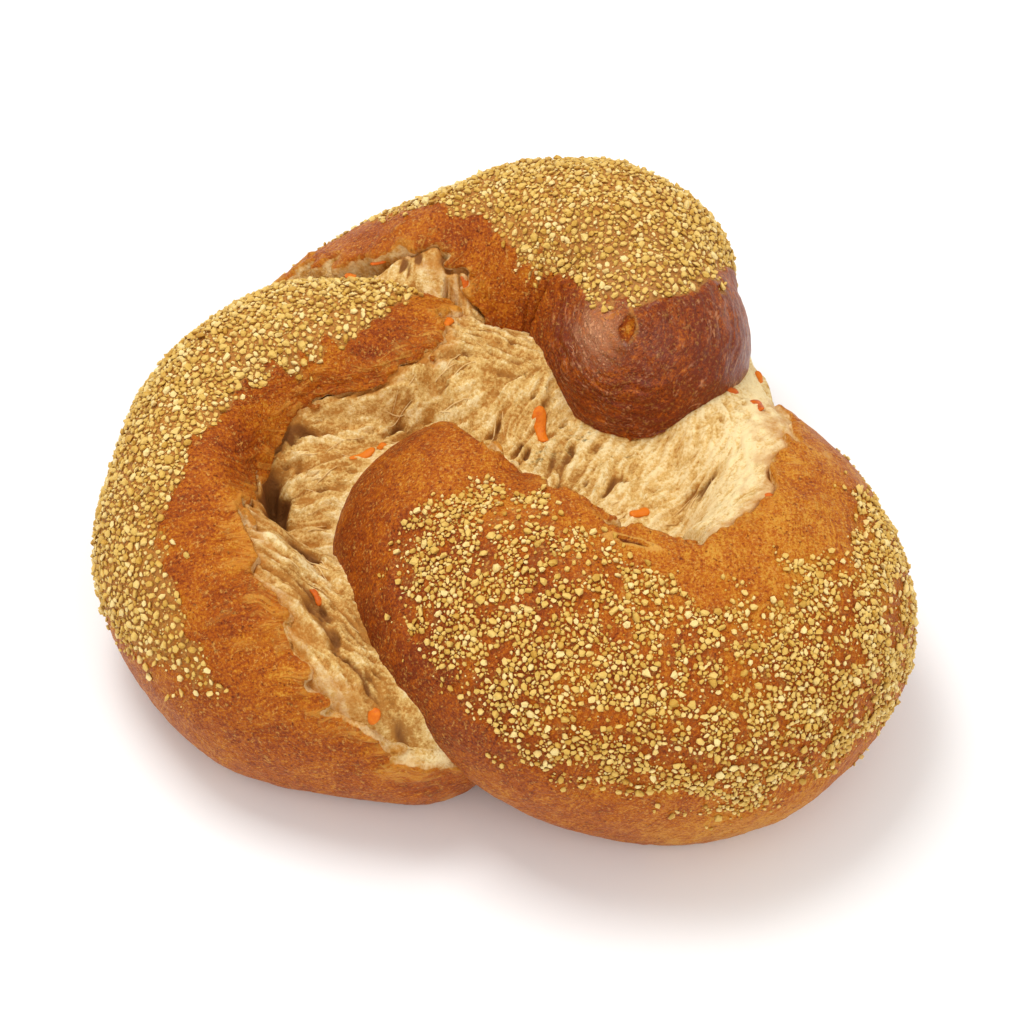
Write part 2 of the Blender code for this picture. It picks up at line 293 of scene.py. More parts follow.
def outward(points: np.ndarray) -> np.ndarray:
    """Unit normals of a grid of points: the cross product of its steps along and around.

    Args:
        points: rings of points, each ring closed on itself.

    Returns:
        One unit vector for each point, pointing out of the tube.
    """
    along = np.gradient(points, axis=0)
    around = np.roll(points, -1, 1) - np.roll(points, 1, 1)
    normal = unit(np.cross(along, around), 1e-12)
    middle = points.mean(1, keepdims=True)
    facing = np.sign(np.sum(normal * (points - middle), -1).mean())
    return normal * facing


def mesh_piece(
    name: str,
    points: np.ndarray,
    faces: list[np.ndarray],
    values: dict[str, np.ndarray],
    smooth_shaded: bool = True,
) -> bpy.types.Object:
    """Makes a mesh object of points laid out in millimetres, moved onto the solid loaf.

    Args:
        name: the piece's name.
        points: one row for each vertex.
        faces: arrays of vertex numbers, one row a face, the rows of each array equally long.
        values: numbers kept on the vertices, by name.
        smooth_shaded: whether faces shade into each other.

    Returns:
        The object, linked to the scene and riding on the loaf's body.
    """
    low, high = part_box(NODE)
    middle = np.array(((low.x + high.x) / 2, (low.y + high.y) / 2, low.z))
    placed = (points - np.array((*LAID_OUT_MIDDLE, 0.0))) * MM + middle
    mesh = bpy.data.meshes.new(name)
    corners = np.concatenate([rows.ravel() for rows in faces]).astype(np.int32)
    sizes = np.concatenate([np.full(len(rows), rows.shape[1]) for rows in faces]).astype(np.int32)
    mesh.vertices.add(len(placed))
    mesh.vertices.foreach_set("co", placed.astype(np.float32).ravel())
    mesh.loops.add(len(corners))
    mesh.loops.foreach_set("vertex_index", corners)
    mesh.polygons.add(len(sizes))
    mesh.polygons.foreach_set("loop_start", np.r_[0, np.cumsum(sizes)[:-1]].astype(np.int32))
    mesh.update(calc_edges=True)
    mesh.polygons.foreach_set("use_smooth", np.full(len(sizes), smooth_shaded))
    for key, numbers in values.items():
        kept = mesh.attributes.new(key, "FLOAT", "POINT")
        kept.data.foreach_set("value", np.asarray(numbers, np.float32).ravel())
    mesh.validate()
    piece = bpy.data.objects.new(name, mesh)
    bpy.context.scene.collection.objects.link(piece)
    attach(piece, BODY)
    return piece


def tube_faces(rings: int, ring: int) -> list[np.ndarray]:
    """Faces of a tube of closed rings whose first and last rings are single points.

    Args:
        rings: how many full rings there are between the two end points.
        ring: how many points each has.

    Returns:
        Triangles at both ends and quads between. The end points come first and last.
    """
    start = 1 + np.arange(rings)[:, None] * ring
    here = np.arange(ring)
    after = (here + 1) % ring
    a, b = start[:-1] + here, start[:-1] + after
    c, d = start[1:] + after, start[1:] + here
    quads = np.stack([a, b, c, d], -1).reshape(-1, 4)
    top = np.stack([np.zeros(ring, int), 1 + after, 1 + here], 1)
    last = 1 + rings * ring
    end = last - ring
    bottom = np.stack([np.full(ring, last), end + here, end + after], 1)
    return [quads, np.concatenate([top, bottom])]


def turned_out(points: np.ndarray, faces: list[np.ndarray]) -> list[np.ndarray]:
    """The faces, reversed if the closed mesh's volume comes out negative."""
    volume = 0.0
    for rows in faces:
        a = points[rows[:, 0]]
        for k in range(1, rows.shape[1] - 1):
            volume += np.sum(a * np.cross(points[rows[:, k]], points[rows[:, k + 1]]))
    return faces if volume > 0 else [rows[:, ::-1] for rows in faces]


# Half the length over which a rope's bend is read, and the widest inner side as a share of its radius
BEND_STEP = 0.5
BEND_SHARE = 0.85

# Radii in millimetres that turn angles round a section into lengths: at the edge, and on the skin
EDGE_RADIUS = 28
SKIN_RADIUS = 26

# Slow waves that keep the ropes from being perfectly round: wave numbers per metre, phase, height
WAVES = (
    ((92, 51, 37), 0.3, 0.35),
    ((-63, 101, 58), 1.9, 0.35),
    ((131, -87, 69), 4.1, 0.3),
    ((77, 140, -104), 2.6, 0.25),
)


@dataclass
class Rope:
    """One rope of dough, from its head to its tail: a tube carried along a curved path.

    ring_step and cap_rings space its rings. A ring has most of its points from seen_from to
    seen_to degrees, where the loaf is looked at. swells are the heights and sizes of the crust's
    lumps, lip is how high its edge stands, flaky how far from the edge it frays, pull the way in
    degrees that it was drawn, and circle the radius that its streaks are laid on round a navel.
    crumb_cover is how far the torn side sinks under the crumb, and bed how far the skin sinks
    under the grits. grain, clumpy and dusty are the grits' size, how far they lie in clumps and
    how much meal lies between them. Lengths are in millimetres.
    """

    name: str
    stations: tuple[Station, ...]
    edges: tuple[Edge, ...]
    strewn: tuple[Strewn, ...]
    baked: tuple[Baked, ...]
    slits: tuple[Slit, ...] = ()
    navel: tuple[float, float, float] | None = None
    painted_highlights: tuple[PaintedHighlight, ...] = ()
    grain: float = 1
    ring_step: float = 0.72
    cap_rings: int = 44
    seen_points: int = 196
    hidden_points: int = 22
    seen_from: float = -72
    seen_to: float = 214
    floor_gap: float = 0.0
    crumb_cover: float = 6
    swells: tuple[tuple[float, float], ...] = ((0.28, 13), (0.1, 4.5), (0.09, 1.7))
    lip: float = 0.35
    circle: float = 11
    bed: float = 0.8
    flaky: float = 6
    pull: float = 90
    clumpy: float = 0.3
    dusty: float = 1
    seed: int = 1
    points: np.ndarray = field(init=False)
    normals: np.ndarray = field(init=False)
    shares: np.ndarray = field(init=False)
    angles: np.ndarray = field(init=False)
    layers: dict[str, np.ndarray] = field(init=False)

    def length(self) -> float:
        """Plan length between the first and last stations, in millimetres."""
        plan = np.asarray(self.stations, float)[:, :2]
        return float(np.hypot(*np.diff(plan, axis=0).T).sum())

    def tube(self, along: np.ndarray, size: np.ndarray, around: np.ndarray) -> np.ndarray:
        """Points of the plain rope, each ring an egg of four quarter ellipses.

        The inner half width stays below the radius of the rope's own bend, so that it never folds.

        Args:
            along: plan lengths of the rings.
            size: how much each ring is shrunk, 1 where it isn't.
            around: angles round the section, in radians.

        Returns:
            A grid of points, ring by ring, in millimetres.
        """
        length = self.length()
        near = np.clip(along, BEND_STEP, length - BEND_STEP)
        steps = (-BEND_STEP, 0, BEND_STEP)
        before, at, after = (spline(self.stations, near + step)[:, :2] for step in steps)
        tangent = unit(after - before)
        here = spline(self.stations, along)
        past = along - np.clip(along, 0, length)
        centre = here[:, :2] + past[:, None] * tangent
        normal = np.stack([-tangent[:, 1], tangent[:, 0]], 1)
        normal *= np.sign(np.sum(normal * centre))
        bend = -np.sum((after - 2 * at + before) * normal, 1) / BEND_STEP**2
        tightest = BEND_SHARE / np.where(past == 0, np.maximum(bend, 1e-6), 1e-6)
        height, outer, inner, rise, drop = (c[:, None] for c in here[:, 2:].T)
        inner = np.minimum(inner, tightest[:, None])
        cos, sin = np.cos(around)[None], np.sin(around)[None]
        across = np.where(cos > 0, outer, inner) * cos * size[:, None]
        z = height + np.where(sin > 0, rise, drop) * sin * size[:, None]
        plan = centre[:, None] + normal[:, None] * across[..., None]
        points = np.concatenate([plan, z[..., None]], -1)
        swell = sum(a * np.sin(points * MM @ np.array(k, float) + p) for k, p, a in WAVES)
        return points + unit(points * (1, 1, 0.6), 1e-9) * swell[..., None]

    def ring_places(self, step: float, caps: int) -> tuple[np.ndarray, np.ndarray]:
        """Plan lengths and sizes of the rings, evenly spaced along the rope's outer side.

        Args:
            step: the spacing on the outer side, in millimetres.
            caps: how many rings each round end has.

        Returns:
            The plan lengths, and how much each ring is shrunk.
        """
        length = self.length()
        fine = np.linspace(0, length, 400)
        side = self.tube(fine, np.ones(len(fine)), np.zeros(1))[:, 0]
        travelled = np.r_[0, np.cumsum(np.linalg.norm(np.diff(side, axis=0), axis=1))]
        even = np.linspace(0, travelled[-1], round(travelled[-1] / step))
        middle = np.interp(even, travelled, fine)
        turn = np.linspace(0, math.pi / 2, caps, endpoint=False)
        past = math.pi / 2 - turn[::-1]
        head, tail = self.stations[0].outer, self.stations[-1].outer
        along = np.r_[-head * np.cos(turn), middle, length + tail * np.sin(past)]
        return along, np.r_[np.sin(turn), np.ones(len(middle)), np.cos(past)]

    def margin(self, shares: np.ndarray, angles: np.ndarray) -> np.ndarray:
        """How far beyond the crust's edge a place is, in millimetres; below 0 on the crust.

        The angle beyond the edge is turned into a distance with the edge's own slant.

        Args:
            shares: shares of the rope's length.
            angles: degrees round the section.

        Returns:
            One distance for each place.
        """
        at, edge = zip(*self.edges, strict=True)
        step = 0.01
        here = np.interp(shares, at, edge)
        slant = (np.interp(shares + step, at, edge) - np.interp(shares - step, at, edge)) / (2 * step)
        degree = math.radians(EDGE_RADIUS)
        return (angles - here) * degree / np.sqrt(1 + (slant * degree / self.length()) ** 2)

    def darkness(self, points: np.ndarray, places: np.ndarray) -> np.ndarray:
        """How dark the crust is baked: the named places' darkness, weighted by nearness."""
        near = np.zeros(points.shape[:-1])
        total = np.zeros(points.shape[:-1])
        for row, place in zip(self.baked, places, strict=True):
            weight = 1 / (np.sum((points - place) ** 2, -1) + 60) ** 2
            near += weight
            total += weight * row.dark
        return total / near

    def thickness(self, shares: np.ndarray, angles: np.ndarray) -> np.ndarray:
        """How thickly grits lie, fading over a few degrees at the strewn zone's edges."""
        at, lows, highs, thicks = zip(*self.strewn, strict=True)
        low, high = np.interp(shares, at, lows), np.interp(shares, at, highs)
        thick = np.interp(shares, at, thicks, left=0, right=0)
        unrolled = self.drawn(shares, angles, 1)
        stray = 6 * lumps(unrolled, 5, self.seed + 70) + 4 * lumps(unrolled, 2.2, self.seed + 71)
        return thick * smooth(angles - low - stray, -5, 5) * smooth(high - angles + stray, -5, 5)

    def place(self, share: float, angle: float) -> np.ndarray:
        """The point of the plain rope at a share of its length and an angle in degrees."""
        along = share * self.length()
        head = min(along, 0) / self.stations[0].outer
        tail = max(along - self.length(), 0) / self.stations[-1].outer
        size = math.sqrt(max(1 - head**2 - tail**2, 0))
        return self.tube(np.array([along]), np.array([size]), np.radians([angle]))[0, 0]

    def sunk(self, beyond: np.ndarray, level: np.ndarray) -> np.ndarray:
        """How far the torn side lies below the plain rope, deeper where it is level."""
        near, far = smooth(beyond, -0.4, 4), smooth(beyond, 5, 15)
        return near * (1.0 + self.crumb_cover * level) + 5 * far * level

    def shape(self) -> None:
        """Works out the rope's grid: the plain tube with its crust's relief and its torn side.

        The crust swells in slow lumps and fine leathery ones, its edge stands a little proud, and
        beyond the edge the surface sinks, deeper where the crumb piece lies over it.
        """
        along, size = self.ring_places(self.ring_step, self.cap_rings)
        seen = np.linspace(self.seen_from, self.seen_to, self.seen_points)
        hidden = np.linspace(self.seen_to, self.seen_from + 360, self.hidden_points + 2)[1:-1]
        degrees = np.r_[seen, hidden]
        plain = self.tube(along, size, np.radians(degrees))
        normal = outward(plain)
        self.shares = np.broadcast_to((along / self.length())[:, None], plain.shape[:2])
        self.angles = np.broadcast_to(degrees[None], plain.shape[:2])
        beyond = self.margin(self.shares, self.angles) + self.ragged(plain, self.shares, self.angles)
        torn = smooth(beyond, -0.5, 0.5)
        level = smooth(normal[..., 2], 0.1, 0.4)
        relief = np.zeros(plain.shape[:2])
        for number, (high, wide) in enumerate(self.swells):
            relief += high * lumps(plain, wide, self.seed + 3 + number)
        relief += self.lip * hump(beyond, -1.6, 1.8)
        flow = self.flowing(plain)
        brushed = flow * (0.25, 0.25, 1)
        streak = lumps(brushed, 1.5, self.seed + 30) * 0.7 + lumps(brushed, 3.4, self.seed + 31) * 0.5
        bent = flow * (0.4, 0.4, 1) + 1.2 * lumps(plain, 4, 7)[..., None]
        web = smooth(np.abs(lumps(bent, 4, self.seed + 32)), 0.13, 0.02)
        relief += (0.5 * streak + 0.12 * web) * smooth(beyond, -self.flaky, -2) * (1 - torn)
        fibres = self.torn_relief(plain)
        relief += torn * (fibres * smooth(beyond, 0, 3) - 0.6) - self.sunk(beyond, level)
        places = np.array([self.place(row.share, row.angle) for row in self.baked])
        dark = self.darkness(plain, places)
        gape = self.slit_depth(plain)
        shine = np.zeros(plain.shape[:2])
        if self.navel is not None:
            oval = self.navel_oval(plain)
            relief += self.navel_relief(plain, oval) * (1 - torn)
            # The navel's raised lip is paled on its right side only: a painted highlight, which the
            # crust's colour reads through a negative gape.
            gape -= 0.16 * hump(oval, 1.6, 0.4) * smooth(plain[..., 0] - self.navel[0], -0.4, 1.2)
            dark -= 0.55 * np.exp(-(oval**4))
            # Painted highlight: the knob's colour is lightened round each listed middle, fading over its
            # reach.
            for *middle, reach in self.painted_highlights:
                shine += hump(np.linalg.norm(plain - np.array(middle), axis=-1), 0, reach)
        strewn = self.thickness(self.shares, self.angles)
        relief -= gape + self.bed * strewn
        fade = np.minimum(size * 6, 1)[:, None]
        self.points = plain + normal * (relief * fade)[..., None]
        self.points[..., 2] = np.maximum(self.points[..., 2], self.floor_gap)
        self.normals = outward(self.points)
        self.layers = {
            "dark": dark,
            "torn": torn,
            "beyond": beyond,
            "dust": strewn * self.dusty,
            "gape": gape,
            "shine": shine,
            "streak": streak,
            "flaky": smooth(beyond, -self.flaky, 0.5),
            "web": web,
            "along": flow[..., 0] * MM,
            "aside": flow[..., 1] * MM,
            "across": flow[..., 2] * MM,
        }

    def drawn(self, shares: np.ndarray, angles: np.ndarray, stretch: float) -> np.ndarray:
        """Places on the unrolled rope in millimetres, squeezed along it so that noise runs along it."""
        along = shares * self.length() / stretch
        return np.stack([along, np.radians(angles) * SKIN_RADIUS, along * 0], -1)

    def flowing(self, points: np.ndarray) -> np.ndarray:
        """Places in millimetres along and across the way that the crust was drawn in baking.

        It was drawn one way all over a rope, but in rings round a navel, up to a quarter of the
        rope's length. Places along a ring lie on a circle, so that they have no seam.

        Args:
            points: the plain rope's points in millimetres.

        Returns:
            Two numbers along the way and one across it for each point.
        """
        x, y, z = np.moveaxis(points, -1, 0)
        along, across = along_aside(x, y, self.pull)
        across = across + 0.6 * z + 1.6 * lumps(points, 6, self.seed + 51)
        along = along + 3 * lumps(points, 7, self.seed + 52)
        aside = along * 0
        if self.navel is not None:
            away = points - np.array(self.navel)
            rings = np.linalg.norm(away, axis=-1) + 1.2 * lumps(points, 8, self.seed + 50)
            circle = unit(away[..., :2], 1e-6) * self.circle
            near = self.shares < 0.25
            along = np.where(near, circle[..., 0], along)
            aside = np.where(near, circle[..., 1], aside)
            across = np.where(near, rings, across)
        return np.stack([along, aside, across], -1)

    def ragged(self, points: np.ndarray, shares: np.ndarray, angles: np.ndarray) -> np.ndarray:
        """How far the torn edge strays, in millimetres: slow waves, and tongues along the rope."""
        slow = 1.8 * lumps(points, 8, self.seed) + 1.0 * lumps(points, 2.8, self.seed + 1)
        tongues = 1.9 * lumps(self.drawn(shares, angles, 3), 2.4, self.seed + 2)
        return slow + tongues

    def torn_relief(self, points: np.ndarray) -> np.ndarray:
        """Relief of torn dough: streaks along the rope, a few times longer than wide, and pits."""
        long = self.drawn(self.shares, self.angles, 5)
        short = self.drawn(self.shares, self.angles, 2.4)
        streaks = 0.55 * lumps(long, 2.2, self.seed + 20) + 0.3 * lumps(long, 1.1, self.seed + 21)
        pits = smooth(lumps(short, 1.5, self.seed + 22), 0.45, 0.9)
        return streaks + 0.5 * lumps(points, 6, self.seed + 23) - 1.1 * pits

    def navel_relief(self, points: np.ndarray, oval: np.ndarray) -> np.ndarray:
        """Wrinkles of the knob: rings round its navel, bent by noise, and the navel's own dimple."""
        away = points - np.array(self.navel)
        reach = np.linalg.norm(away, axis=-1)
        warped = reach + 1.6 * lumps(points, 7, 31) + 0.7 * lumps(points, 3, 32)
        fade = smooth(reach, 40, 14)
        turn = np.arctan2(away[..., 1], away[..., 0])
        broken = 0.5 + 0.5 * np.sin(3 * turn + 1.5 * lumps(points, 9, 33))
        rings = 0.34 * np.sin(warped * 2 * math.pi / 2.6) * fade * (0.2 + 0.8 * broken)
        dimple = 0.9 * hump(oval, 1.9, 0.5) - 1.3 * hump(oval, 0, 1)
        return rings + dimple + 0.3 * lumps(points, 5, 34) * fade

    def navel_oval(self, points: np.ndarray) -> np.ndarray:
        """Distance from the navel in its own widths, twice as long down the knob as across."""
        away = points - np.array(self.navel)
        bend = 0.5 * lumps(points, 2.2, 35)
        return np.hypot(away[..., 0] / 1.4, np.hypot(away[..., 1], away[..., 2]) / 2.4) + bend * 0.6

    def slit_depth(self, points: np.ndarray) -> np.ndarray:
        """Depth of the tears in the crust, each a lens with a thin raised lip round it."""
        total = np.zeros(points.shape[:-1])
        for row in self.slits:
            away = points - self.place(row.share, row.angle)
            ahead, _ = along_aside(away[..., 0], away[..., 1], row.heading)
            side = np.sqrt(np.maximum(np.sum(away**2, -1) - ahead**2, 0))
            lens = np.sqrt((ahead / row.long) ** 2 + (side / row.wide) ** 2)
            total += 1.9 * smooth(lens, 1.1, 0.5) - 0.45 * hump(lens, 1.4, 0.35)
        return total

    def build(self) -> bpy.types.Object:
        """Makes the rope's mesh, closed at both ends, with its finish's values on the vertices.

        Returns:
            The rope's object.
        """
        rings, ring = self.points.shape[:2]
        body = self.points[1:-1].reshape(-1, 3)
        ends = self.points[0].mean(0), self.points[-1].mean(0)
        points = np.concatenate([[ends[0]], body, [ends[1]]])
        faces = turned_out(points, tube_faces(rings - 2, ring))
        kept = {key: np.r_[v[0, 0], v[1:-1].ravel(), v[-1, 0]] for key, v in self.layers.items()}
        piece = mesh_piece(f"rope_{self.name}", points, faces, kept)
        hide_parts(NODE)
        return piece


def left_rope() -> Rope:
    """The rope on the left, whose tail lies under the front rope's head."""
    return Rope(
        name="left",
        seed=11,
        floor_gap=0.1,
        flaky=14,
        pull=12,
        stations=rows(
            Station,
            (4, 30, 40, 17, 17, 18, 26),
            (-26, 35, 41, 22, 20, 23, 44),
            (-49, 32, 38, 26, 20, 27, 48),
            (-65, 11, 34, 25, 16, 28, 43),
            (-65, -13, 31, 27, 16, 29, 39),
            (-50, -34, 28, 25.5, 22, 27, 35),
            (-20, -41, 27, 24.5, 24, 25, 34),
        ),
        edges=rows(
            Edge, (0.08, -60), (0.12, 95), (0.2, 143), (0.53, 149), (0.67, 126), (0.76, 96), (0.88, 52),
            (1.03, -6),
        ),
        strewn=rows(
            Strewn, (0.15, 0, 60, 0.7), (0.22, -38, 110, 1), (0.37, -40, 122, 1), (0.52, -35, 95, 1),
            (0.64, -12, 74, 0.9), (0.74, 8, 52, 0.7), (0.82, 20, 26, 0.5),
        ),
        baked=rows(
            Baked, (0.14, 60, 0.45), (0.2, 110, 0.62), (0.3, 130, 0.6), (0.42, 128, 0.62),
            (0.52, 120, 0.62), (0.6, 95, 0.66), (0.66, 105, 0.58), (0.75, 70, 0.6), (0.85, 40, 0.55),
            (0.95, 10, 0.6), (0.8, -20, 0.5), (0.6, 0, 0.45), (0.4, 60, 0.5), (0.3, 0, 0.5),
        ),
    )


def back_rope() -> Rope:
    """The rope at the back, whose head is the glossy knob."""
    return Rope(
        name="back",
        seed=41,
        floor_gap=0.2,
        stations=rows(
            Station,
            (31, 37, 51, 26, 24, 26, 27),
            (25, 50, 48, 33, 25, 32, 40),
            (14, 59, 43.5, 33, 25, 36, 48),
            (0, 62, 39, 28, 25, 35, 48),
            (-24, 57, 33, 28, 20, 31, 42),
            (-46, 48, 27, 23, 18, 22, 34),
            (-58, 34, 24, 18, 18, 18, 30),
        ),
        edges=rows(
            Edge, (0.4, 200), (0.47, 140), (0.54, 108), (0.61, 89), (0.7, 84), (0.78, 55), (1, 40),
        ),
        strewn=rows(
            Strewn, (-0.09, 65, 108, 0.9), (0.02, 35, 130, 1), (0.15, -30, 135, 1), (0.34, -40, 126, 1),
            (0.44, -40, 97, 0.95), (0.58, -40, 62, 0.8), (0.8, -35, 35, 0.7), (1, -20, 20, 0.5),
        ),
        baked=rows(
            Baked, (-0.2, 60, 0.95), (-0.25, 110, 1.0), (-0.2, 0, 0.95), (-0.1, 150, 0.9),
            (0.05, 175, 0.8), (0.03, 5, 0.8), (0.0, 100, 0.8), (0.25, 60, 0.5), (0.4, 120, 0.6),
            (0.48, 105, 0.62), (0.58, 75, 0.55), (0.7, 65, 0.55), (0.6, 10, 0.5), (0.9, 20, 0.5),
        ),
        navel=(27.0, 22.0, 73.0),
        painted_highlights=rows(PaintedHighlight, (21, 24, 71, 9), (16, 13, 66, 5)),
    )


def front_rope() -> Rope:
    """The rope at the front, whose tail runs up the right side under the knob."""
    return Rope(
        name="front",
        seed=71,
        ring_step=0.76,
        clumpy=0.85,
        dusty=0.2,
        grain=0.88,
        stations=rows(
            Station,
            (-6, -16, 38, 33, 26.5, 29, 30),
            (1.5, -27, 41, 35.5, 29, 30, 38),
            (13, -36, 39, 39.5, 28.5, 33, 43),
            (27, -41, 37, 38.5, 27, 34.5, 46),
            (43, -40, 35, 38, 22.5, 35, 47),
            (57, -26, 34, 35, 21, 33.5, 44),
            (59, -4, 31, 24.5, 22, 31, 39),
            (48, 17, 30, 19, 20, 26, 36),
            (42.5, 39.5, 29, 22, 19, 25, 37),
        ),
        edges=rows(
            Edge, (-0.14, 104), (0.1, 110), (0.31, 110), (0.42, 106), (0.56, 94), (0.67, 90),
            (0.75, 66), (0.82, 34), (0.9, 4), (1, -24),
        ),
        strewn=rows(
            Strewn, (-0.01, 58, 80, 0.8), (0.05, 34, 97, 0.9), (0.15, 28, 101, 0.9), (0.2, 14, 98, 0.9),
            (0.27, 3, 86, 0.9), (0.4, -12, 72, 0.95), (0.5, -11, 66, 1), (0.64, -5, 47, 1),
            (0.72, 0, 25, 0.7),
        ),
        baked=rows(
            Baked, (-0.1, 90, 0.55), (-0.09, 130, 0.4), (-0.06, 30, 0.72), (0.05, 20, 0.8),
            (0.15, 5, 0.78), (0.25, -20, 0.5), (0.38, -40, 0.32), (0.2, 60, 0.72), (0.32, 50, 0.66),
            (0.1, 110, 0.58), (0.3, 100, 0.42), (0.42, 90, 0.32), (0.55, 78, 0.35), (0.62, 60, 0.42),
            (0.7, 40, 0.4), (0.45, 30, 0.62), (0.5, -40, 0.34), (0.75, 0, 0.4),
        ),
        slits=rows(Slit, (0.288, 96, 4.4, 0.8, -14)),
    )


@dataclass
class Field:
    """A plan of square cells over the loaf, in which heights are kept as rows and columns."""

    low_x: float = -76
    low_y: float = -80
    high_x: float = 76
    high_y: float = 76
    cell: float = 0.3
    gap: float = 3
    mends: int = 3
    nothing: float = -40

    def shape(self) -> tuple[int, int]:
        """Rows along Y and columns along X."""
        rows = round((self.high_y - self.low_y) / self.cell) + 1
        return rows, round((self.high_x - self.low_x) / self.cell) + 1

    def places(self) -> tuple[np.ndarray, np.ndarray]:
        """X and Y of every cell, in millimetres."""
        rows, columns = self.shape()
        x = self.low_x + self.cell * np.arange(columns)
        y = self.low_y + self.cell * np.arange(rows)
        return np.meshgrid(x, y)

    def drop(self, points: np.ndarray, extras: list[np.ndarray]) -> list[np.ndarray]:
        """The highest point over each cell, and what goes with it.

        Points are sorted from low to high, so that the highest one is written last. A cell that
        lies far below both of its neighbours was missed, and is filled with their mean.

        Args:
            points: a grid of points, dense enough to leave few cells of its plan empty.
            extras: numbers that go with the points.

        Returns:
            The heights, far down where nothing lies, and the extras there.
        """
        order = np.argsort(points[..., 2], axis=None)
        flat = points.reshape(-1, 3)[order]
        column = np.rint((flat[:, 0] - self.low_x) / self.cell).astype(int)
        row = np.rint((flat[:, 1] - self.low_y) / self.cell).astype(int)
        rows, columns = self.shape()
        inside = (row >= 0) & (row < rows) & (column >= 0) & (column < columns)
        row, column = row[inside], column[inside]
        kept = [np.full((rows, columns), self.nothing, float)]
        kept += [np.zeros((rows, columns)) for _ in extras]
        for layer, values in zip(kept, (points[..., 2], *extras), strict=True):
            layer[row, column] = values.ravel()[order][inside]
        for axis in (0, 1) * self.mends:
            lower = np.minimum(np.roll(kept[0], 1, axis), np.roll(kept[0], -1, axis))
            missed = kept[0] < lower - self.gap
            for layer in kept:
                between = (np.roll(layer, 1, axis) + np.roll(layer, -1, axis)) / 2
                layer[missed] = between[missed]
        return kept

    def read(self, layer: np.ndarray, x: np.ndarray, y: np.ndarray) -> np.ndarray:
        """The layer's value at any place, straight between its four nearest cells."""
        rows, columns = self.shape()
        u = np.clip((x - self.low_x) / self.cell, 0, columns - 1.001)
        v = np.clip((y - self.low_y) / self.cell, 0, rows - 1.001)
        i, j = v.astype(int), u.astype(int)
        f, g = v - i, u - j
        low = layer[i, j] * (1 - g) + layer[i, j + 1] * g
        high = layer[i + 1, j] * (1 - g) + layer[i + 1, j + 1] * g
        return low * (1 - f) + high * f


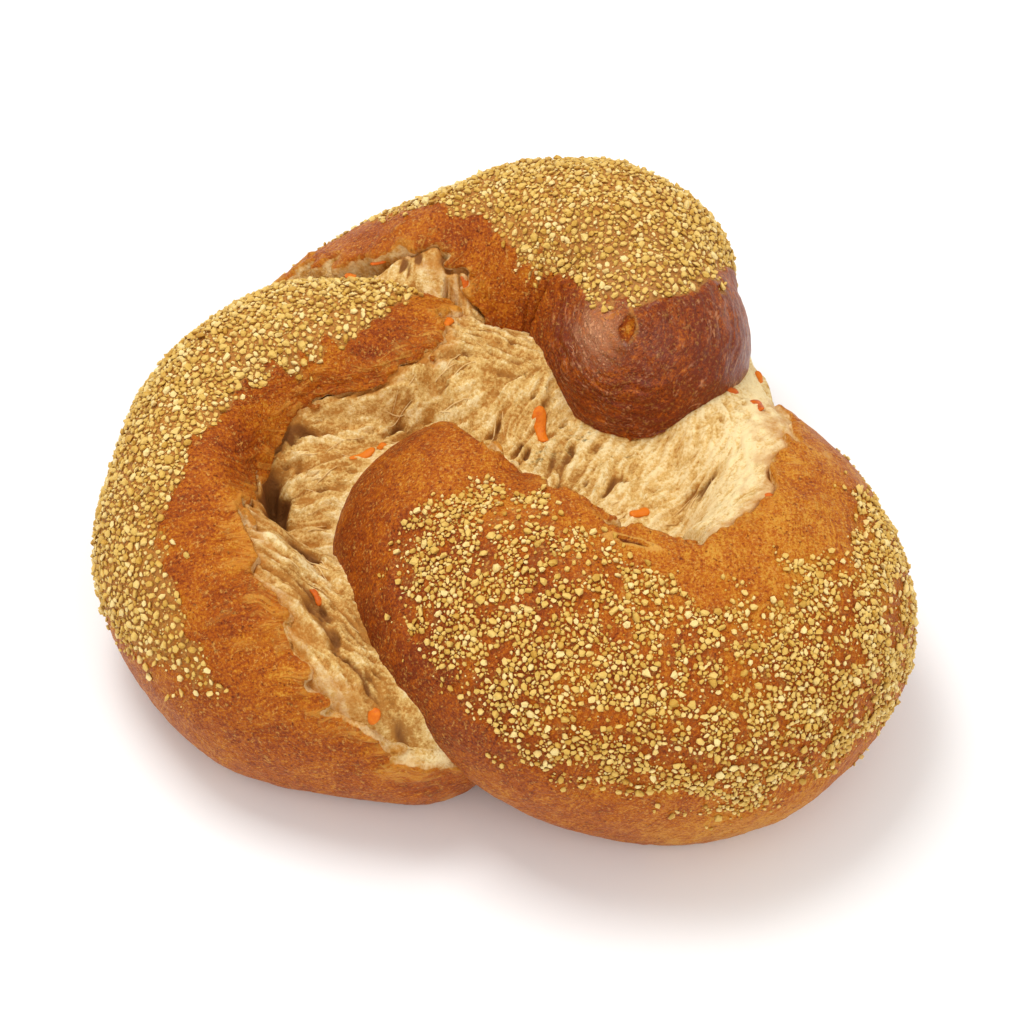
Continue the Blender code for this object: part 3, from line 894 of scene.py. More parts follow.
@dataclass
class Crumb:
    """The torn crumb between the ropes: one skin over their torn sides and the mound between.

    The mound stands round mound_x and mound_y, lower towards dip_turn and narrower towards
    bay_turn. blend is how softly the tops join, and trim how sharply the ropes' caps cut them. The
    crumb lies sunk below what it follows, covered_depth more under crust, and start_depth more
    over the part of a rope that starts under another one; starts names the shares of its length
    where that ends. drop_rings and drop_angles are how finely the ropes are laid on the plan.
    reach is how far the skin goes from the middle, every 15 degrees from +X. Its rim dives but
    stays above least, and its wall draws in to the share foot of the reach at the height base.
    Lengths are in millimetres and turns in degrees.
    """

    plan: Field = field(default_factory=Field)
    side: int = 308
    mound_x: float = -0.5
    mound_y: float = 5
    mound_radius: float = 59
    mound_top: float = 48.5
    mound_fall: float = 14
    dip: float = 8
    dip_turn: float = 222
    bay: float = 0.28
    bay_turn: float = 246
    bay_spread: float = 24
    base: float = 5
    blend: float = 2.6
    trim: float = 0.5
    sunk: float = 0.6
    covered_depth: float = 3.6
    start_depth: float = 14
    starts: tuple[tuple[str, float, float], ...] = (
        ("left", -1, -0.9),
        ("back", 0.42, 0.5),
        ("front", 0.36, 0.46),
    )
    most_beyond: float = 30
    open_sky: float = 99
    drop_rings: tuple[float, int] = (0.22, 160)
    drop_angles: tuple[float, float, int] = (-60, 214, 620)
    dive: float = 8
    least: float = 24
    foot: float = 0.6
    seed: int = 101
    reach: tuple[float, ...] = (
        *(69, 70, 69, 58, 50, 52, 56, 61, 62, 60, 58, 60),
        *(60, 62, 67, 73, 71.5, 65.5, 56, 50, 52, 56, 62, 65),
    )
    tops: dict[str, np.ndarray] = field(default_factory=dict)
    layers: dict[str, np.ndarray] = field(init=False)
    sags: tuple[Hollow, ...] = rows(
        Hollow, (-31, -41, 20, 7.5, -55, 7), (-28, 22, 15, 5, 25, -3), (-48, 12, 9, 5, 40, -3)
    )
    pulls: tuple[Pull, ...] = rows(
        Pull, (-20, 30, 172), (-2, 29, 165), (0, 16, 62), (10, 12, 72), (-14, 14, 35), (-26, 14, 18),
        (-38, 14, 8), (-46, 4, 10), (-46, -10, -8), (-42, -28, -35), (-40, -45, -48), (-28, -58, -36),
        (-10, -64, -24), (22, 4, 58), (32, -8, 48), (46, -16, 42), (56, -14, 50), (58, 5, 78),
        (57, 22, 100), (-24, 50, 92), (-44, 46, 80), (-8, 50, 100),
    )
    hollows: tuple[Hollow, ...] = rows(
        Hollow, (-52, -5, 7, 2.0, 92, 8), (-50, 9, 5, 1.6, 30, 1.5), (-43, 13, 7, 1.4, 10, 2),
        (-25, 14, 4, 1.1, 20, 3), (-44, -22, 5, 2.0, -40, 3), (-41, -36, 6, 1.4, -60, 1.5),
        (-30, -55, 4, 1.6, -60, 1.6), (-36, -48, 5, 1.3, -58, 2.5), (-19, -63, 5, 1.4, -40, 1),
        (24, -3, 5, 0.9, 40, 1.6), (46, -6, 4, 0.9, 48, 1.8), (-36, 52, 2.6, 2.0, 70, 3.5),
        (-24, 53, 2.2, 1.6, 90, 3.5), (-20, 53, 1.8, 1.4, 90, 3), (-13, 52, 2.2, 1.6, 80, 3.5),
        (-44, 50, 3, 2.2, 60, 2.5), (12, 6, 5, 2.0, 60, 1.2),
    )

    def toward(self, x: np.ndarray, y: np.ndarray, turn: float, spread: float) -> np.ndarray:
        """1 in the direction turn from the mound's middle, fading over spread degrees either way."""
        way = np.degrees(np.arctan2(y - self.mound_y, x - self.mound_x)) - turn
        return hump((way + 180) % 360 - 180, 0, spread)

    def directions(self, x: np.ndarray, y: np.ndarray) -> np.ndarray:
        """Which way the fibres run: the named pulls' doubled angles, weighted by nearness."""
        cos = np.zeros(x.shape)
        sin = np.zeros(x.shape)
        for pull in self.pulls:
            weight = 1 / ((x - pull.x) ** 2 + (y - pull.y) ** 2 + 30) ** 2
            cos += weight * math.cos(2 * math.radians(pull.heading))
            sin += weight * math.sin(2 * math.radians(pull.heading))
        return np.arctan2(sin, cos) / 2

    def combed(self, heading: np.ndarray, coarse: int, reach: int, seed: int) -> np.ndarray:
        """Streaks along the headings: random cells, blurred a little, then averaged along them.

        Args:
            heading: the way the streaks run, in radians, cell by cell.
            coarse: cells of blur across, which sets how wide a streak is.
            reach: how many cells a streak runs either way.
            seed: picks the random cells.

        Returns:
            Streaks with a mean of 0 and a spread of 1.
        """
        grain = np.random.default_rng(seed).standard_normal(heading.shape)
        if coarse:
            grain = blur(blur(grain, coarse), coarse)
        start = np.indices(grain.shape)
        last = np.array(grain.shape)[:, None, None] - 1
        total = grain.copy()
        for way in (1, -1):
            place, cell = start.astype(float), start
            for _ in range(reach):
                place += way * np.stack([np.sin(heading[*cell]), np.cos(heading[*cell])])
                cell = np.clip(np.rint(place), 0, last).astype(int)
                total += grain[*cell]
        total -= total.mean()
        return total / total.std()

    def over_ropes(self, ropes: dict[str, Rope]) -> tuple[list[np.ndarray], ...]:
        """Drops the ropes onto the plan, and works out how the crumb follows each of them.

        It sinks below a rope where crust covers it, and well below the part of a rope that starts
        under another one. Where it shows it may rise above the rope the further from the crust.

        Args:
            ropes: the shaped ropes by name.

        Returns:
            Layers for each rope: the crumb's height over it, the distance beyond its crust, and
            the cap that keeps the crumb below it.
        """
        follows, beyonds, caps = [], [], []
        for name, start, full in self.starts:
            rope = ropes[name]
            along, size = rope.ring_places(*self.drop_rings)
            angles = np.linspace(*self.drop_angles)
            plain = rope.tube(along, size, np.radians(angles))
            shares = np.broadcast_to((along / rope.length())[:, None], plain.shape[:2])
            around = np.broadcast_to(angles[None], plain.shape[:2])
            beyond = rope.margin(shares, around) + rope.ragged(plain, shares, around)
            steep = smooth(outward(plain)[..., 2], 0.1, 0.4)
            top, beyond, share, level = self.plan.drop(plain, [beyond, shares, steep])
            self.tops[name] = top - rope.sunk(beyond, level)
            covered = smooth(beyond, -3, 1.5)
            lowered = self.covered_depth * (1 - covered * (0.6 + 0.4 * level))
            lowered += self.start_depth * (1 - smooth(share, start, full))
            follows.append(blur(top - self.sunk - lowered, 1))
            beyonds.append(beyond)
            free = (top < -1) | (level < 0.3) | (beyond < -8)
            rise = 0.4 * np.maximum(beyond - 0.5, 0)
            caps.append(np.where(free, self.open_sky, top - self.sunk + rise))
        return follows, beyonds, caps

    def mound(self, x: np.ndarray, y: np.ndarray) -> np.ndarray:
        """Height of the mound between the ropes, which falls off with the sixth power of distance."""
        away = np.hypot(x - self.mound_x, y - self.mound_y) / self.mound_radius
        dip = self.dip * smooth(away, 0.4, 0.75) * self.toward(x, y, self.dip_turn, 20)
        away = away * (1 + self.bay * self.toward(x, y, self.bay_turn, self.bay_spread))
        return self.mound_top - self.mound_fall * np.clip(away, 0, 1.2) ** 6 - dip

    def fibres(self, x: np.ndarray, flat: np.ndarray, heading: np.ndarray) -> tuple[np.ndarray, ...]:
        """Relief of the torn fibres: folds and crests, stringier on the left, threads and holes.

        Args:
            x: X of the cells, in millimetres.
            flat: places of the cells, with no height.
            heading: the way the fibres run, in radians.

        Returns:
            The relief in millimetres, the finest threads, and the threads.
        """
        stringy = 0.18 + 0.95 * smooth(-x, -8, 32)
        folds = self.combed(heading, 6, 34, self.seed)
        crests = 1 - np.abs(self.combed(heading, 4, 30, self.seed + 7)) * 0.8
        threads = self.combed(heading, 1, 18, self.seed + 1)
        relief = stringy * (0.5 * folds + 0.5 * np.maximum(crests, -0.6)) + 0.3 * threads
        fine = self.combed(heading, 0, 7, self.seed + 2)
        relief += 0.26 * fine + 0.18 * lumps(flat, 1.2, self.seed + 10)
        relief -= 1.1 * smooth(self.combed(heading, 1, 4, self.seed + 5), 1.2, 2.1)
        relief -= 1.1 * smooth(self.combed(heading, 2, 6, self.seed + 6), 1.5, 2.5)
        return relief, fine, threads

    def heights(self, ropes: dict[str, Rope]) -> dict[str, np.ndarray]:
        """Works out the crumb's height over the plan, and how far each cell is from a crust.

        Where ropes and mound meet, their tops are blended by the logarithm of the sum of their
        exponentials, which fills the crease. Fibres and hollows are then laid over it, smoother
        where a crust touches it, and it is kept below the ropes' caps.

        Args:
            ropes: the shaped ropes by name.

        Returns:
            Layers by name: height, distance beyond the crust, relief, paleness, the fibres'
            heading, and how far the crumb shows above the ropes.
        """
        x, y = self.plan.places()
        flat = np.stack([x, y, x * 0], -1)
        follows, beyonds, caps = self.over_ropes(ropes)
        stack = np.array([*follows, self.mound(x, y)])
        beyonds.append(np.full(x.shape, self.most_beyond))
        best = stack.max(0)
        shares = np.exp((stack - best) / self.blend)
        height = best + self.blend * np.log(shares.sum(0)) - self.sunk
        beyond = (shares * np.clip(beyonds, -10, self.most_beyond)).sum(0) / shares.sum(0)
        heading = self.directions(x, y) + 0.35 * lumps(flat, 6, self.seed + 9)
        relief, fine, threads = self.fibres(x, flat, heading)
        back, front = (
            blur(blur((self.tops[name] > height) * 1.0, 9), 9) for name in ("back", "front")
        )
        membrane = smooth(front, 0.1, 0.8) * smooth(-x - 0.35 * y, -6, 10)
        knob = back * smooth(x, -12, 0)
        touched = smooth(np.maximum(knob, front), 0.05, 0.6)
        relief = relief * (1 - 0.85 * touched) + 0.8 * membrane
        edging = (1 - smooth(beyond, 0, 9)) * smooth(x, -15, 5)
        relief = relief * (1 - 0.7 * edging) * (1 - 0.3 * smooth(x, 10, 30))
        relief -= self.hollow_depth(x, y, self.hollows)
        swell = 0.6 * lumps(flat, 11, self.seed + 3) + 0.25 * lumps(flat, 5, self.seed + 4)
        swell = swell * (1 - 0.6 * touched) - self.hollow_depth(x, y, self.sags)
        strip = smooth(-0.6 * x - 0.8 * y, 22, 44)
        lobe = smooth(y, 42, 52) * smooth(-x, 4, 12)
        pale = 0.9 * smooth(x + 8 * lumps(flat, 14, self.seed + 8), -34, 34) - 0.1 - 0.85 * strip
        # Beyond x of 36 mm the crumb is paler: partly its own paler tone, partly painted light against
        # the knob's shadow. The threads, raised in the relief, are painted paler too: painted light on
        # their crests.
        pale = pale + 0.45 * lobe + 0.55 * smooth(x, 36, 52)
        pale = np.maximum(pale, membrane * 0.9) + 0.18 * fine + 0.16 * threads
        beyond = np.minimum(beyond, 26 * (1.1 - np.clip(knob * 1.5, 0, 1)))
        height = height + relief * (1 - 0.75 * lobe) + swell
        highest = np.max(list(self.tops.values()), axis=0)
        for cap, top in zip(caps, self.tops.values(), strict=True):
            cap = np.where(top < highest - 0.5, self.open_sky, cap)
            height = -self.trim * np.logaddexp(-height / self.trim, -cap / self.trim)
        return {
            "height": height,
            "beyond": beyond,
            "relief": relief,
            "pale": pale,
            "heading": heading,
            "shown": height - highest,
        }

    def hollow_depth(self, x: np.ndarray, y: np.ndarray, hollows: tuple[Hollow, ...]) -> np.ndarray:
        """Depth of the hollows, each a long bowl whose rim is bent by noise."""
        total = np.zeros(x.shape)
        flat = np.stack([x, y, x * 0], -1)
        bent_x = x + 0.9 * lumps(flat, 3.5, self.seed + 40)
        bent_y = y + 0.9 * lumps(flat, 3.5, self.seed + 41)
        for row in hollows:
            ahead, aside = along_aside(bent_x - row.x, bent_y - row.y, row.heading)
            bowl = (ahead / row.long) ** 2 + (aside / row.wide) ** 2
            total += row.depth * np.exp(-(bowl**1.5))
        return total

    def grid(self) -> tuple[np.ndarray, np.ndarray, np.ndarray]:
        """Plan of the skin's grid: a square of cells drawn out into a round patch.

        A square ring of cells becomes a round one of the same share, whose reach from the middle
        follows the named reaches, in even steps round a turn from +X.

        Returns:
            X and Y of the grid's points, in millimetres, and their share of the reach.
        """
        a, b = np.meshgrid(np.linspace(-1, 1, self.side), np.linspace(-1, 1, self.side))
        share = np.maximum(np.abs(a), np.abs(b))
        wide = np.abs(a) >= np.abs(b)
        safe = np.where(share == 0, 1, np.where(wide, a, b))
        turn = np.where(wide, b / safe * math.pi / 4, math.pi / 2 - a / safe * math.pi / 4)
        turn = np.where(np.where(wide, a, b) < 0, turn + math.pi, turn)
        steps = np.linspace(0, 2 * math.pi, len(self.reach) + 1)
        eased = np.interp(turn % (2 * math.pi), steps, [*self.reach, self.reach[0]])
        return share * eased * np.cos(turn), share * eased * np.sin(turn), share

    def build(self, ropes: dict[str, Rope]) -> bpy.types.Object:
        """Makes the crumb's mesh: the skin, a wall under its rim and a flat underside.

        Args:
            ropes: the shaped ropes by name.

        Returns:
            The crumb's object.
        """
        self.layers = self.heights(ropes)
        x, y, share = self.grid()
        z = self.plan.read(self.layers["height"], x, y) - self.dive * smooth(share, 0.95, 1)
        z = np.maximum(z, self.least)
        count = self.side
        number = np.arange(count * count).reshape(count, count)
        rim = np.concatenate([number[0, :-1], number[:-1, -1], number[-1, :0:-1], number[:0:-1, 0]])
        top = np.stack([x, y, z], -1).reshape(-1, 3)
        low = top[rim] * (self.foot, self.foot, 0) + (0, 0, self.base)
        points = np.concatenate([top, low])
        under = count * count + np.arange(len(rim))
        skin = np.stack([number[:-1, :-1], number[:-1, 1:], number[1:, 1:], number[1:, :-1]], -1)
        wall = np.stack([rim, under, np.roll(under, -1), np.roll(rim, -1)], 1)
        faces = [skin.reshape(-1, 4), wall, under[None, ::-1]]
        values = {}
        for name, browned in (("beyond", -10.0), ("relief", None), ("pale", -1.0)):
            skin_values = self.plan.read(self.layers[name], x, y).ravel()
            foot_values = skin_values[rim] if browned is None else np.full(len(rim), browned)
            values[name] = np.r_[skin_values, foot_values]
        piece = mesh_piece("crumb", points, turned_out(points, faces), values)
        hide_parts(NODE)
        return piece


class GritKind(Enum):
    """The four sizes that the grits are sorted into, by the least width in millimetres."""

    COARSE = 1.5
    MEDIUM = 1.08
    FINE = 0.75
    DUST = 0.0


@dataclass
class Grits:
    """Broken maize grains on the crust, the largest ones laid first.

    Of so many tries, a grain stays where it lies above lowest, clear of the other ropes, and the
    share packing of both widths away from the others. usual and spread give the widths, most is
    the widest one, and dust_share of them are as wide as dust_widths says. half is how far a grain
    reaches from its middle in its own widths, sunk how much of it lies in the crust, and lean how
    far it tips over. Lengths are in millimetres.
    """

    tries: int = 260000
    usual: float = 1.02
    spread: float = 0.28
    dust_share: float = 0.35
    dust_widths: tuple[float, float] = (0.4, 0.75)
    most: float = 2.3
    packing: float = 0.4
    lowest: float = 3
    clear: float = 0.4
    sunk: float = 0.22
    half: float = 0.56
    lean: float = 0.3
    shapes: int = 40
    seed: int = 5

    def corners(self, kind: GritKind, rng: np.random.Generator) -> tuple[np.ndarray, np.ndarray]:
        """Shapes of one kind of grain: a round lump with flat facets cut off it.

        Args:
            kind: how fine the lump is.
            rng: the random numbers to draw from.

        Returns:
            The shapes' corners, and the faces that they share.
        """
        if kind is GritKind.DUST:
            cells = np.repeat(np.eye(3), 2, 0) * np.tile((1, -1), 3)[:, None]
            ring = np.array([(0, 2), (2, 1), (1, 3), (3, 0)])
            faces = np.concatenate([np.c_[ring, np.full(4, 4)], np.c_[ring[:, ::-1], np.full(4, 5)]])
        else:
            golden = (1 + math.sqrt(5)) / 2
            near = np.array([(0, i, j * golden) for i in (-1, 1) for j in (-1, 1)], float)
            cells = np.concatenate([near, np.roll(near, 1, 1), np.roll(near, 2, 1)])
            cells /= np.linalg.norm(cells[0])
            gap = np.linalg.norm(cells[:, None] - cells[None], axis=-1)
            side = np.sort(gap[0])[1] * 1.01
            trios = combinations(range(len(cells)), 3)
            faces = np.array([trio for trio in trios if gap[np.ix_(trio, trio)].max() < side])
            a, b, c = (cells[faces[:, n]] for n in range(3))
            turned = np.sum(np.cross(b - a, c - a) * a, -1) < 0
            faces[turned] = faces[turned][:, ::-1]
        shapes = np.repeat(cells[None], self.shapes, 0)
        shapes = shapes * (1 + rng.uniform(-0.2, 0.22, (*shapes.shape[:2], 1)))
        for _ in range(3):
            cut = unit(rng.standard_normal((self.shapes, 1, 3)))
            depth = np.maximum(np.sum(shapes * cut, -1, keepdims=True) - rng.uniform(0.42, 0.8), 0)
            shapes = shapes - cut * depth
        return shapes, faces

    def candidates(self, rope: Rope, count: int, rng: np.random.Generator) -> tuple[np.ndarray, ...]:
        """Random places on a rope, likelier where a cell is large and grits lie thickly.

        Args:
            rope: a shaped rope.
            count: how many to draw.
            rng: the random numbers to draw from.

        Returns:
            The places, the outward directions there, and how thickly grits lie.
        """
        p = rope.points
        step = np.linalg.norm(p[1:, :-1] - p[:-1, :-1], axis=-1)
        side = np.linalg.norm(p[:-1, 1:] - p[:-1, :-1], axis=-1)
        thick = rope.thickness(rope.shares, rope.angles) * (1 - rope.layers["torn"])
        clumps = 0.7 * lumps(p, 6, rope.seed + 60) + 0.8 * lumps(p, 2.6, rope.seed + 61)
        patchy = 1 - rope.clumpy * (1 - smooth(clumps, -0.8, 0.2))
        thick = (thick * patchy)[:-1, :-1]
        chance = (step * side * thick).ravel()
        picked = rng.choice(len(chance), count, p=chance / chance.sum())
        i, j = np.unravel_index(picked, step.shape)
        f, g = rng.random((2, count, 1))

        def inside(grid: np.ndarray) -> np.ndarray:
            """The grid's values inside the picked cells, straight between their corners."""
            near = grid[i, j] * (1 - f) + grid[i + 1, j] * f
            far = grid[i, j + 1] * (1 - f) + grid[i + 1, j + 1] * f
            return near * (1 - g) + far * g

        return inside(p), unit(inside(rope.normals)), thick[i, j]

    def scatter(self, ropes: dict[str, Rope], crumb: Crumb) -> dict[str, np.ndarray]:
        """Chooses the grains' places by dart throwing, the largest first.

        A dart is dropped if it lies inside another rope or too near a grain that is there.

        Args:
            ropes: the shaped ropes by name.
            crumb: the built crumb, on whose plan the ropes' tops are kept.

        Returns:
            Places, outward directions and widths of the grains that stay.
        """
        rng = np.random.default_rng(self.seed)
        whole = sum(len(rope.points) for rope in ropes.values())
        found: list[tuple[np.ndarray, ...]] = []
        for name, rope in ropes.items():
            count = round(self.tries * len(rope.points) / whole)
            places, normals, thick = self.candidates(rope, count, rng)
            free = places[:, 2] > self.lowest
            for other, top in crumb.tops.items():
                if other != name:
                    free &= places[:, 2] > crumb.plan.read(top, *places[:, :2].T) + self.clear
            found.append((places[free], normals[free], thick[free], np.full(free.sum(), rope.grain)))
        places, normals, thick, grain = (np.concatenate(parts) for parts in zip(*found, strict=True))
        widths = self.usual * grain * np.exp(self.spread * rng.standard_normal(len(places)))
        dust = rng.random(len(places)) < self.dust_share
        dust_widths = rng.uniform(*self.dust_widths, len(places))
        widths = np.where(dust, dust_widths, np.minimum(widths, self.most))
        order = np.argsort(-widths)
        places, normals, widths, thick = (part[order] for part in (places, normals, widths, thick))
        tree = KDTree(len(places))
        for number, place in enumerate(places):
            tree.insert(place, number)
        tree.balance()
        stays = np.zeros(len(places), bool)
        gap = self.packing * (1 + 1.5 * (1 - thick) ** 1.5) * rng.uniform(0.8, 1.2, len(places))
        for number, place in enumerate(places):
            near = tree.find_range(place, gap[number] * (widths[number] + self.most))
            stays[number] = not any(
                stays[other] and away < gap[number] * (widths[number] + widths[other])
                for _, other, away in near
            )
        return {"places": places[stays], "normals": normals[stays], "widths": widths[stays]}

    def build(self, ropes: dict[str, Rope], crumb: Crumb) -> list[bpy.types.Object]:
        """Makes one mesh for each kind of grain, every grain turned, stretched and sunk its own way.

        Args:
            ropes: the shaped ropes by name.
            crumb: the built crumb.

        Returns:
            The pieces, one for each kind.
        """
        chosen = self.scatter(ropes, crumb)
        made = []
        ceiling = math.inf
        for number, kind in enumerate(GritKind):
            picked = (chosen["widths"] >= kind.value) & (chosen["widths"] < ceiling)
            ceiling = kind.value
            rng = np.random.default_rng(self.seed + 100 + number)
            made.append(self.pile(kind, {name: v[picked] for name, v in chosen.items()}, rng))
        return made

    def pile(
        self, kind: GritKind, chosen: dict[str, np.ndarray], rng: np.random.Generator
    ) -> bpy.types.Object:
        """Makes the mesh of one kind: its shapes copied to the places in one array operation.

        Args:
            kind: the kind of grain.
            chosen: places, outward directions and widths.
            rng: the random numbers to draw from.

        Returns:
            The piece.
        """
        shapes, faces = self.corners(kind, rng)
        count = len(chosen["widths"])
        up = unit(chosen["normals"] + self.lean * rng.standard_normal((count, 3)))
        ahead = rng.standard_normal((count, 3))
        ahead = unit(ahead - up * np.sum(ahead * up, 1, keepdims=True))
        axes = np.stack([ahead, np.cross(up, ahead), up], 1)
        narrow, flat = rng.uniform(0.62, 0.95, count), rng.uniform(0.5, 0.8, count)
        stretch = np.stack([np.ones(count), narrow, flat], 1)
        scale = stretch * chosen["widths"][:, None] * self.half
        corners = shapes[rng.integers(0, len(shapes), count)] * scale[:, None]
        turned = sum(corners[..., k, None] * axes[:, None, k] for k in range(3))
        lifted = scale[:, 2:] * (1 - 2 * self.sunk)
        points = turned + (chosen["places"] + chosen["normals"] * lifted)[:, None]
        tint = np.repeat(rng.random(count), corners.shape[1])
        high = np.clip(corners[..., 2] / scale[:, None, 2] * 0.5 + 0.5, 0, 1).ravel()
        joined = (faces[None] + np.arange(count)[:, None, None] * corners.shape[1]).reshape(-1, 3)
        values = {"tint": tint, "high": high}
        name = f"grits_{kind.name.lower()}"
        piece = mesh_piece(name, points.reshape(-1, 3), [joined], values, smooth_shaded=False)
        return piece


@dataclass
class Strands:
    """Thin strands of torn dough that lie over the crumb, each a fine tube along the pull.

    Each has so many steps of a ring, a radius from thin to thick, and a length from shortest to
    longest. None lies below lowest, or more than widest from the middle, in millimetres.
    """

    count: int = 80
    steps: int = 18
    ring: int = 5
    thin: float = 0.06
    thick: float = 0.17
    shortest: float = 2.5
    longest: float = 9
    lowest: float = 18
    widest: float = 58
    seed: int = 17

    def paths(self, crumb: Crumb, rng: np.random.Generator) -> np.ndarray:
        """Traces paths along the crumb's headings, each from where the crumb shows.

        Args:
            crumb: the built crumb.
            rng: the random numbers to draw from.

        Returns:
            X and Y of the paths' points, path by path, in millimetres.
        """
        plan, layers = crumb.plan, crumb.layers
        tries = self.count * 40
        x, y = rng.uniform(-58, 62, tries), rng.uniform(-68, 58, tries)
        likely = 0.22 + 0.78 * smooth(-x, -4, 26)
        open_crumb = blur((layers["shown"] < 0.3) * 1.0, 6)
        good = (plan.read(open_crumb, x, y) < 0.05) & (rng.random(tries) < likely)
        x, y = x[good][: self.count], y[good][: self.count]
        count = len(x)
        length = rng.uniform(self.shortest, self.longest, count)
        aside = rng.normal(0, 0.3, count)
        curl = rng.normal(0, 0.06, count)
        turn = plan.read(layers["heading"], x, y)
        path = [np.stack([x, y], -1)]
        for step in range(self.steps - 1):
            here = path[-1]
            pull = plan.read(layers["heading"], *here.T)
            near = turn + np.angle(np.exp(2j * (pull - turn))) / 2
            turn = turn + 0.25 * (near - turn) + curl
            way = np.stack([np.cos(turn + aside), np.sin(turn + aside)], -1)
            path.append(here + way * (length / (self.steps - 1))[:, None])
        path = np.stack(path, 1)
        x, y = np.moveaxis(path, -1, 0)
        kept = plan.read(layers["shown"], x, y).min(1) > 0
        kept &= plan.read(layers["height"], x, y).min(1) > self.lowest
        kept &= np.hypot(x, y).max(1) < self.widest
        return path[kept]

    def build(self, crumb: Crumb) -> bpy.types.Object:
        """Makes the strands: rings round paths that arch a little over the crumb.

        Both ends of a strand sink into the crumb.

        Args:
            crumb: the built crumb.

        Returns:
            The piece.
        """
        rng = np.random.default_rng(self.seed)
        path = self.paths(crumb, rng)
        count = len(path)
        t = np.linspace(0, 1, self.steps)[None]
        ground = crumb.plan.read(blur(crumb.layers["height"], 2), *np.moveaxis(path, -1, 0))
        arch = rng.uniform(0.05, 0.35, count)[:, None] * 4 * t * (1 - t)
        lift = arch - 0.9 * (1 - smooth(t, 0, 0.15) * smooth(1 - t, 0, 0.15))
        middle = np.concatenate([path, (ground + lift)[..., None]], -1)
        ahead = unit(np.gradient(path, axis=1), 1e-9)
        side = np.stack([-ahead[..., 1], ahead[..., 0], ahead[..., 0] * 0], -1)
        around = np.linspace(0, 2 * math.pi, self.ring, endpoint=False)
        radius = rng.uniform(self.thin, self.thick, count)[:, None] * (0.35 + 0.65 * np.sin(math.pi * t))
        ring = side[:, :, None] * np.cos(around)[:, None] + np.array((0, 0, 1)) * np.sin(around)[:, None]
        points = middle[:, :, None] + ring * radius[..., None, None]
        number = np.arange(count * self.steps * self.ring).reshape(count, self.steps, self.ring)
        after = np.roll(number, -1, 2)
        quads = np.stack([number[:, :-1], number[:, 1:], after[:, 1:], after[:, :-1]], -1).reshape(-1, 4)
        ends = np.concatenate([number[:, 0], number[:, -1, ::-1]])
        flat = points.reshape(-1, 3)
        piece = mesh_piece("strands", flat, turned_out(flat, [quads, ends]), {})
        return piece


@dataclass
class Carrot:
    """Shreds of carrot lying in the crumb and a few on the crust's torn edge.

    Each has so many rings. thick is its half height in half widths, and sunk how much of it lies
    in the crumb.
    """

    rings: int = 22
    ring: int = 14
    thick: float = 0.45
    sunk: float = 0.35
    seed: int = 9
    shreds: tuple[Shred, ...] = rows(
        Shred, (8, 14, 3.9, 1.5, 100), (30, -10, 2.4, 1.2, 20), (57, 14, 2.8, 1.2, 110),
        (51, 21, 2.2, 0.9, 170), (-32, 6, 3.4, 0.9, 30), (-28, 9, 1.4, 0.8, 60),
        (57, -21, 1.6, 1.1, 70), (59, 32, 2.0, 0.7, 100), (-13, 36, 1.9, 1.0, 60),
        (-9, 47, 1.6, 0.9, 110), (-28, -61, 1.5, 1.3, 60), (-41, -34, 2.2, 0.8, -60),
        (-29, 56, 2.4, 0.8, 20), (-36, 54, 1.6, 0.8, 150),
    )

    def build(self, crumb: Crumb) -> bpy.types.Object:
        """Makes the shreds: bent tubes with uneven sides, partly sunk in the crumb.

        Each is a ring carried along an arc, wide in its middle and blunt at its ends.

        Args:
            crumb: the built crumb, which they lie on.

        Returns:
            The piece.
        """
        rng = np.random.default_rng(self.seed)
        all_points, all_faces, tints, start = [], [], [], 0
        height = blur(crumb.layers["height"], 3)
        t = np.linspace(-1, 1, self.rings)[:, None]
        around = np.linspace(0, 2 * math.pi, self.ring, endpoint=False)[None]
        for row in self.shreds:
            size = (1 - np.abs(t) ** 3.5) ** 0.5 * (1 + 0.15 * np.sin(3 * t + rng.uniform(0, 6)))
            bend = rng.uniform(-0.25, 0.25) * row.half * t**2
            side = row.width * size * np.cos(around) * (1 + 0.12 * np.sin(2 * around + 3 * t))
            x, y = row.moved(t, side + bend)
            ground = crumb.plan.read(height, *row.moved(t, bend))
            z = ground + self.thick * row.width * (size * np.sin(around) + 1 - 2 * self.sunk)
            grid = np.stack(np.broadcast_arrays(x, y, z), -1)
            points = np.concatenate([grid[:1].mean(1), grid[1:-1].reshape(-1, 3), grid[-1:].mean(1)])
            faces = turned_out(points, tube_faces(self.rings - 2, self.ring))
            all_points.append(points)
            all_faces.append([rows + start for rows in faces])
            tints.append(np.full(len(points), rng.random()))
            start += len(points)
        faces = [np.concatenate(parts) for parts in zip(*all_faces, strict=True)]
        tint = np.concatenate(tints)
        piece = mesh_piece("carrot_shreds", np.concatenate(all_points), faces, {"tint": tint})
        return piece


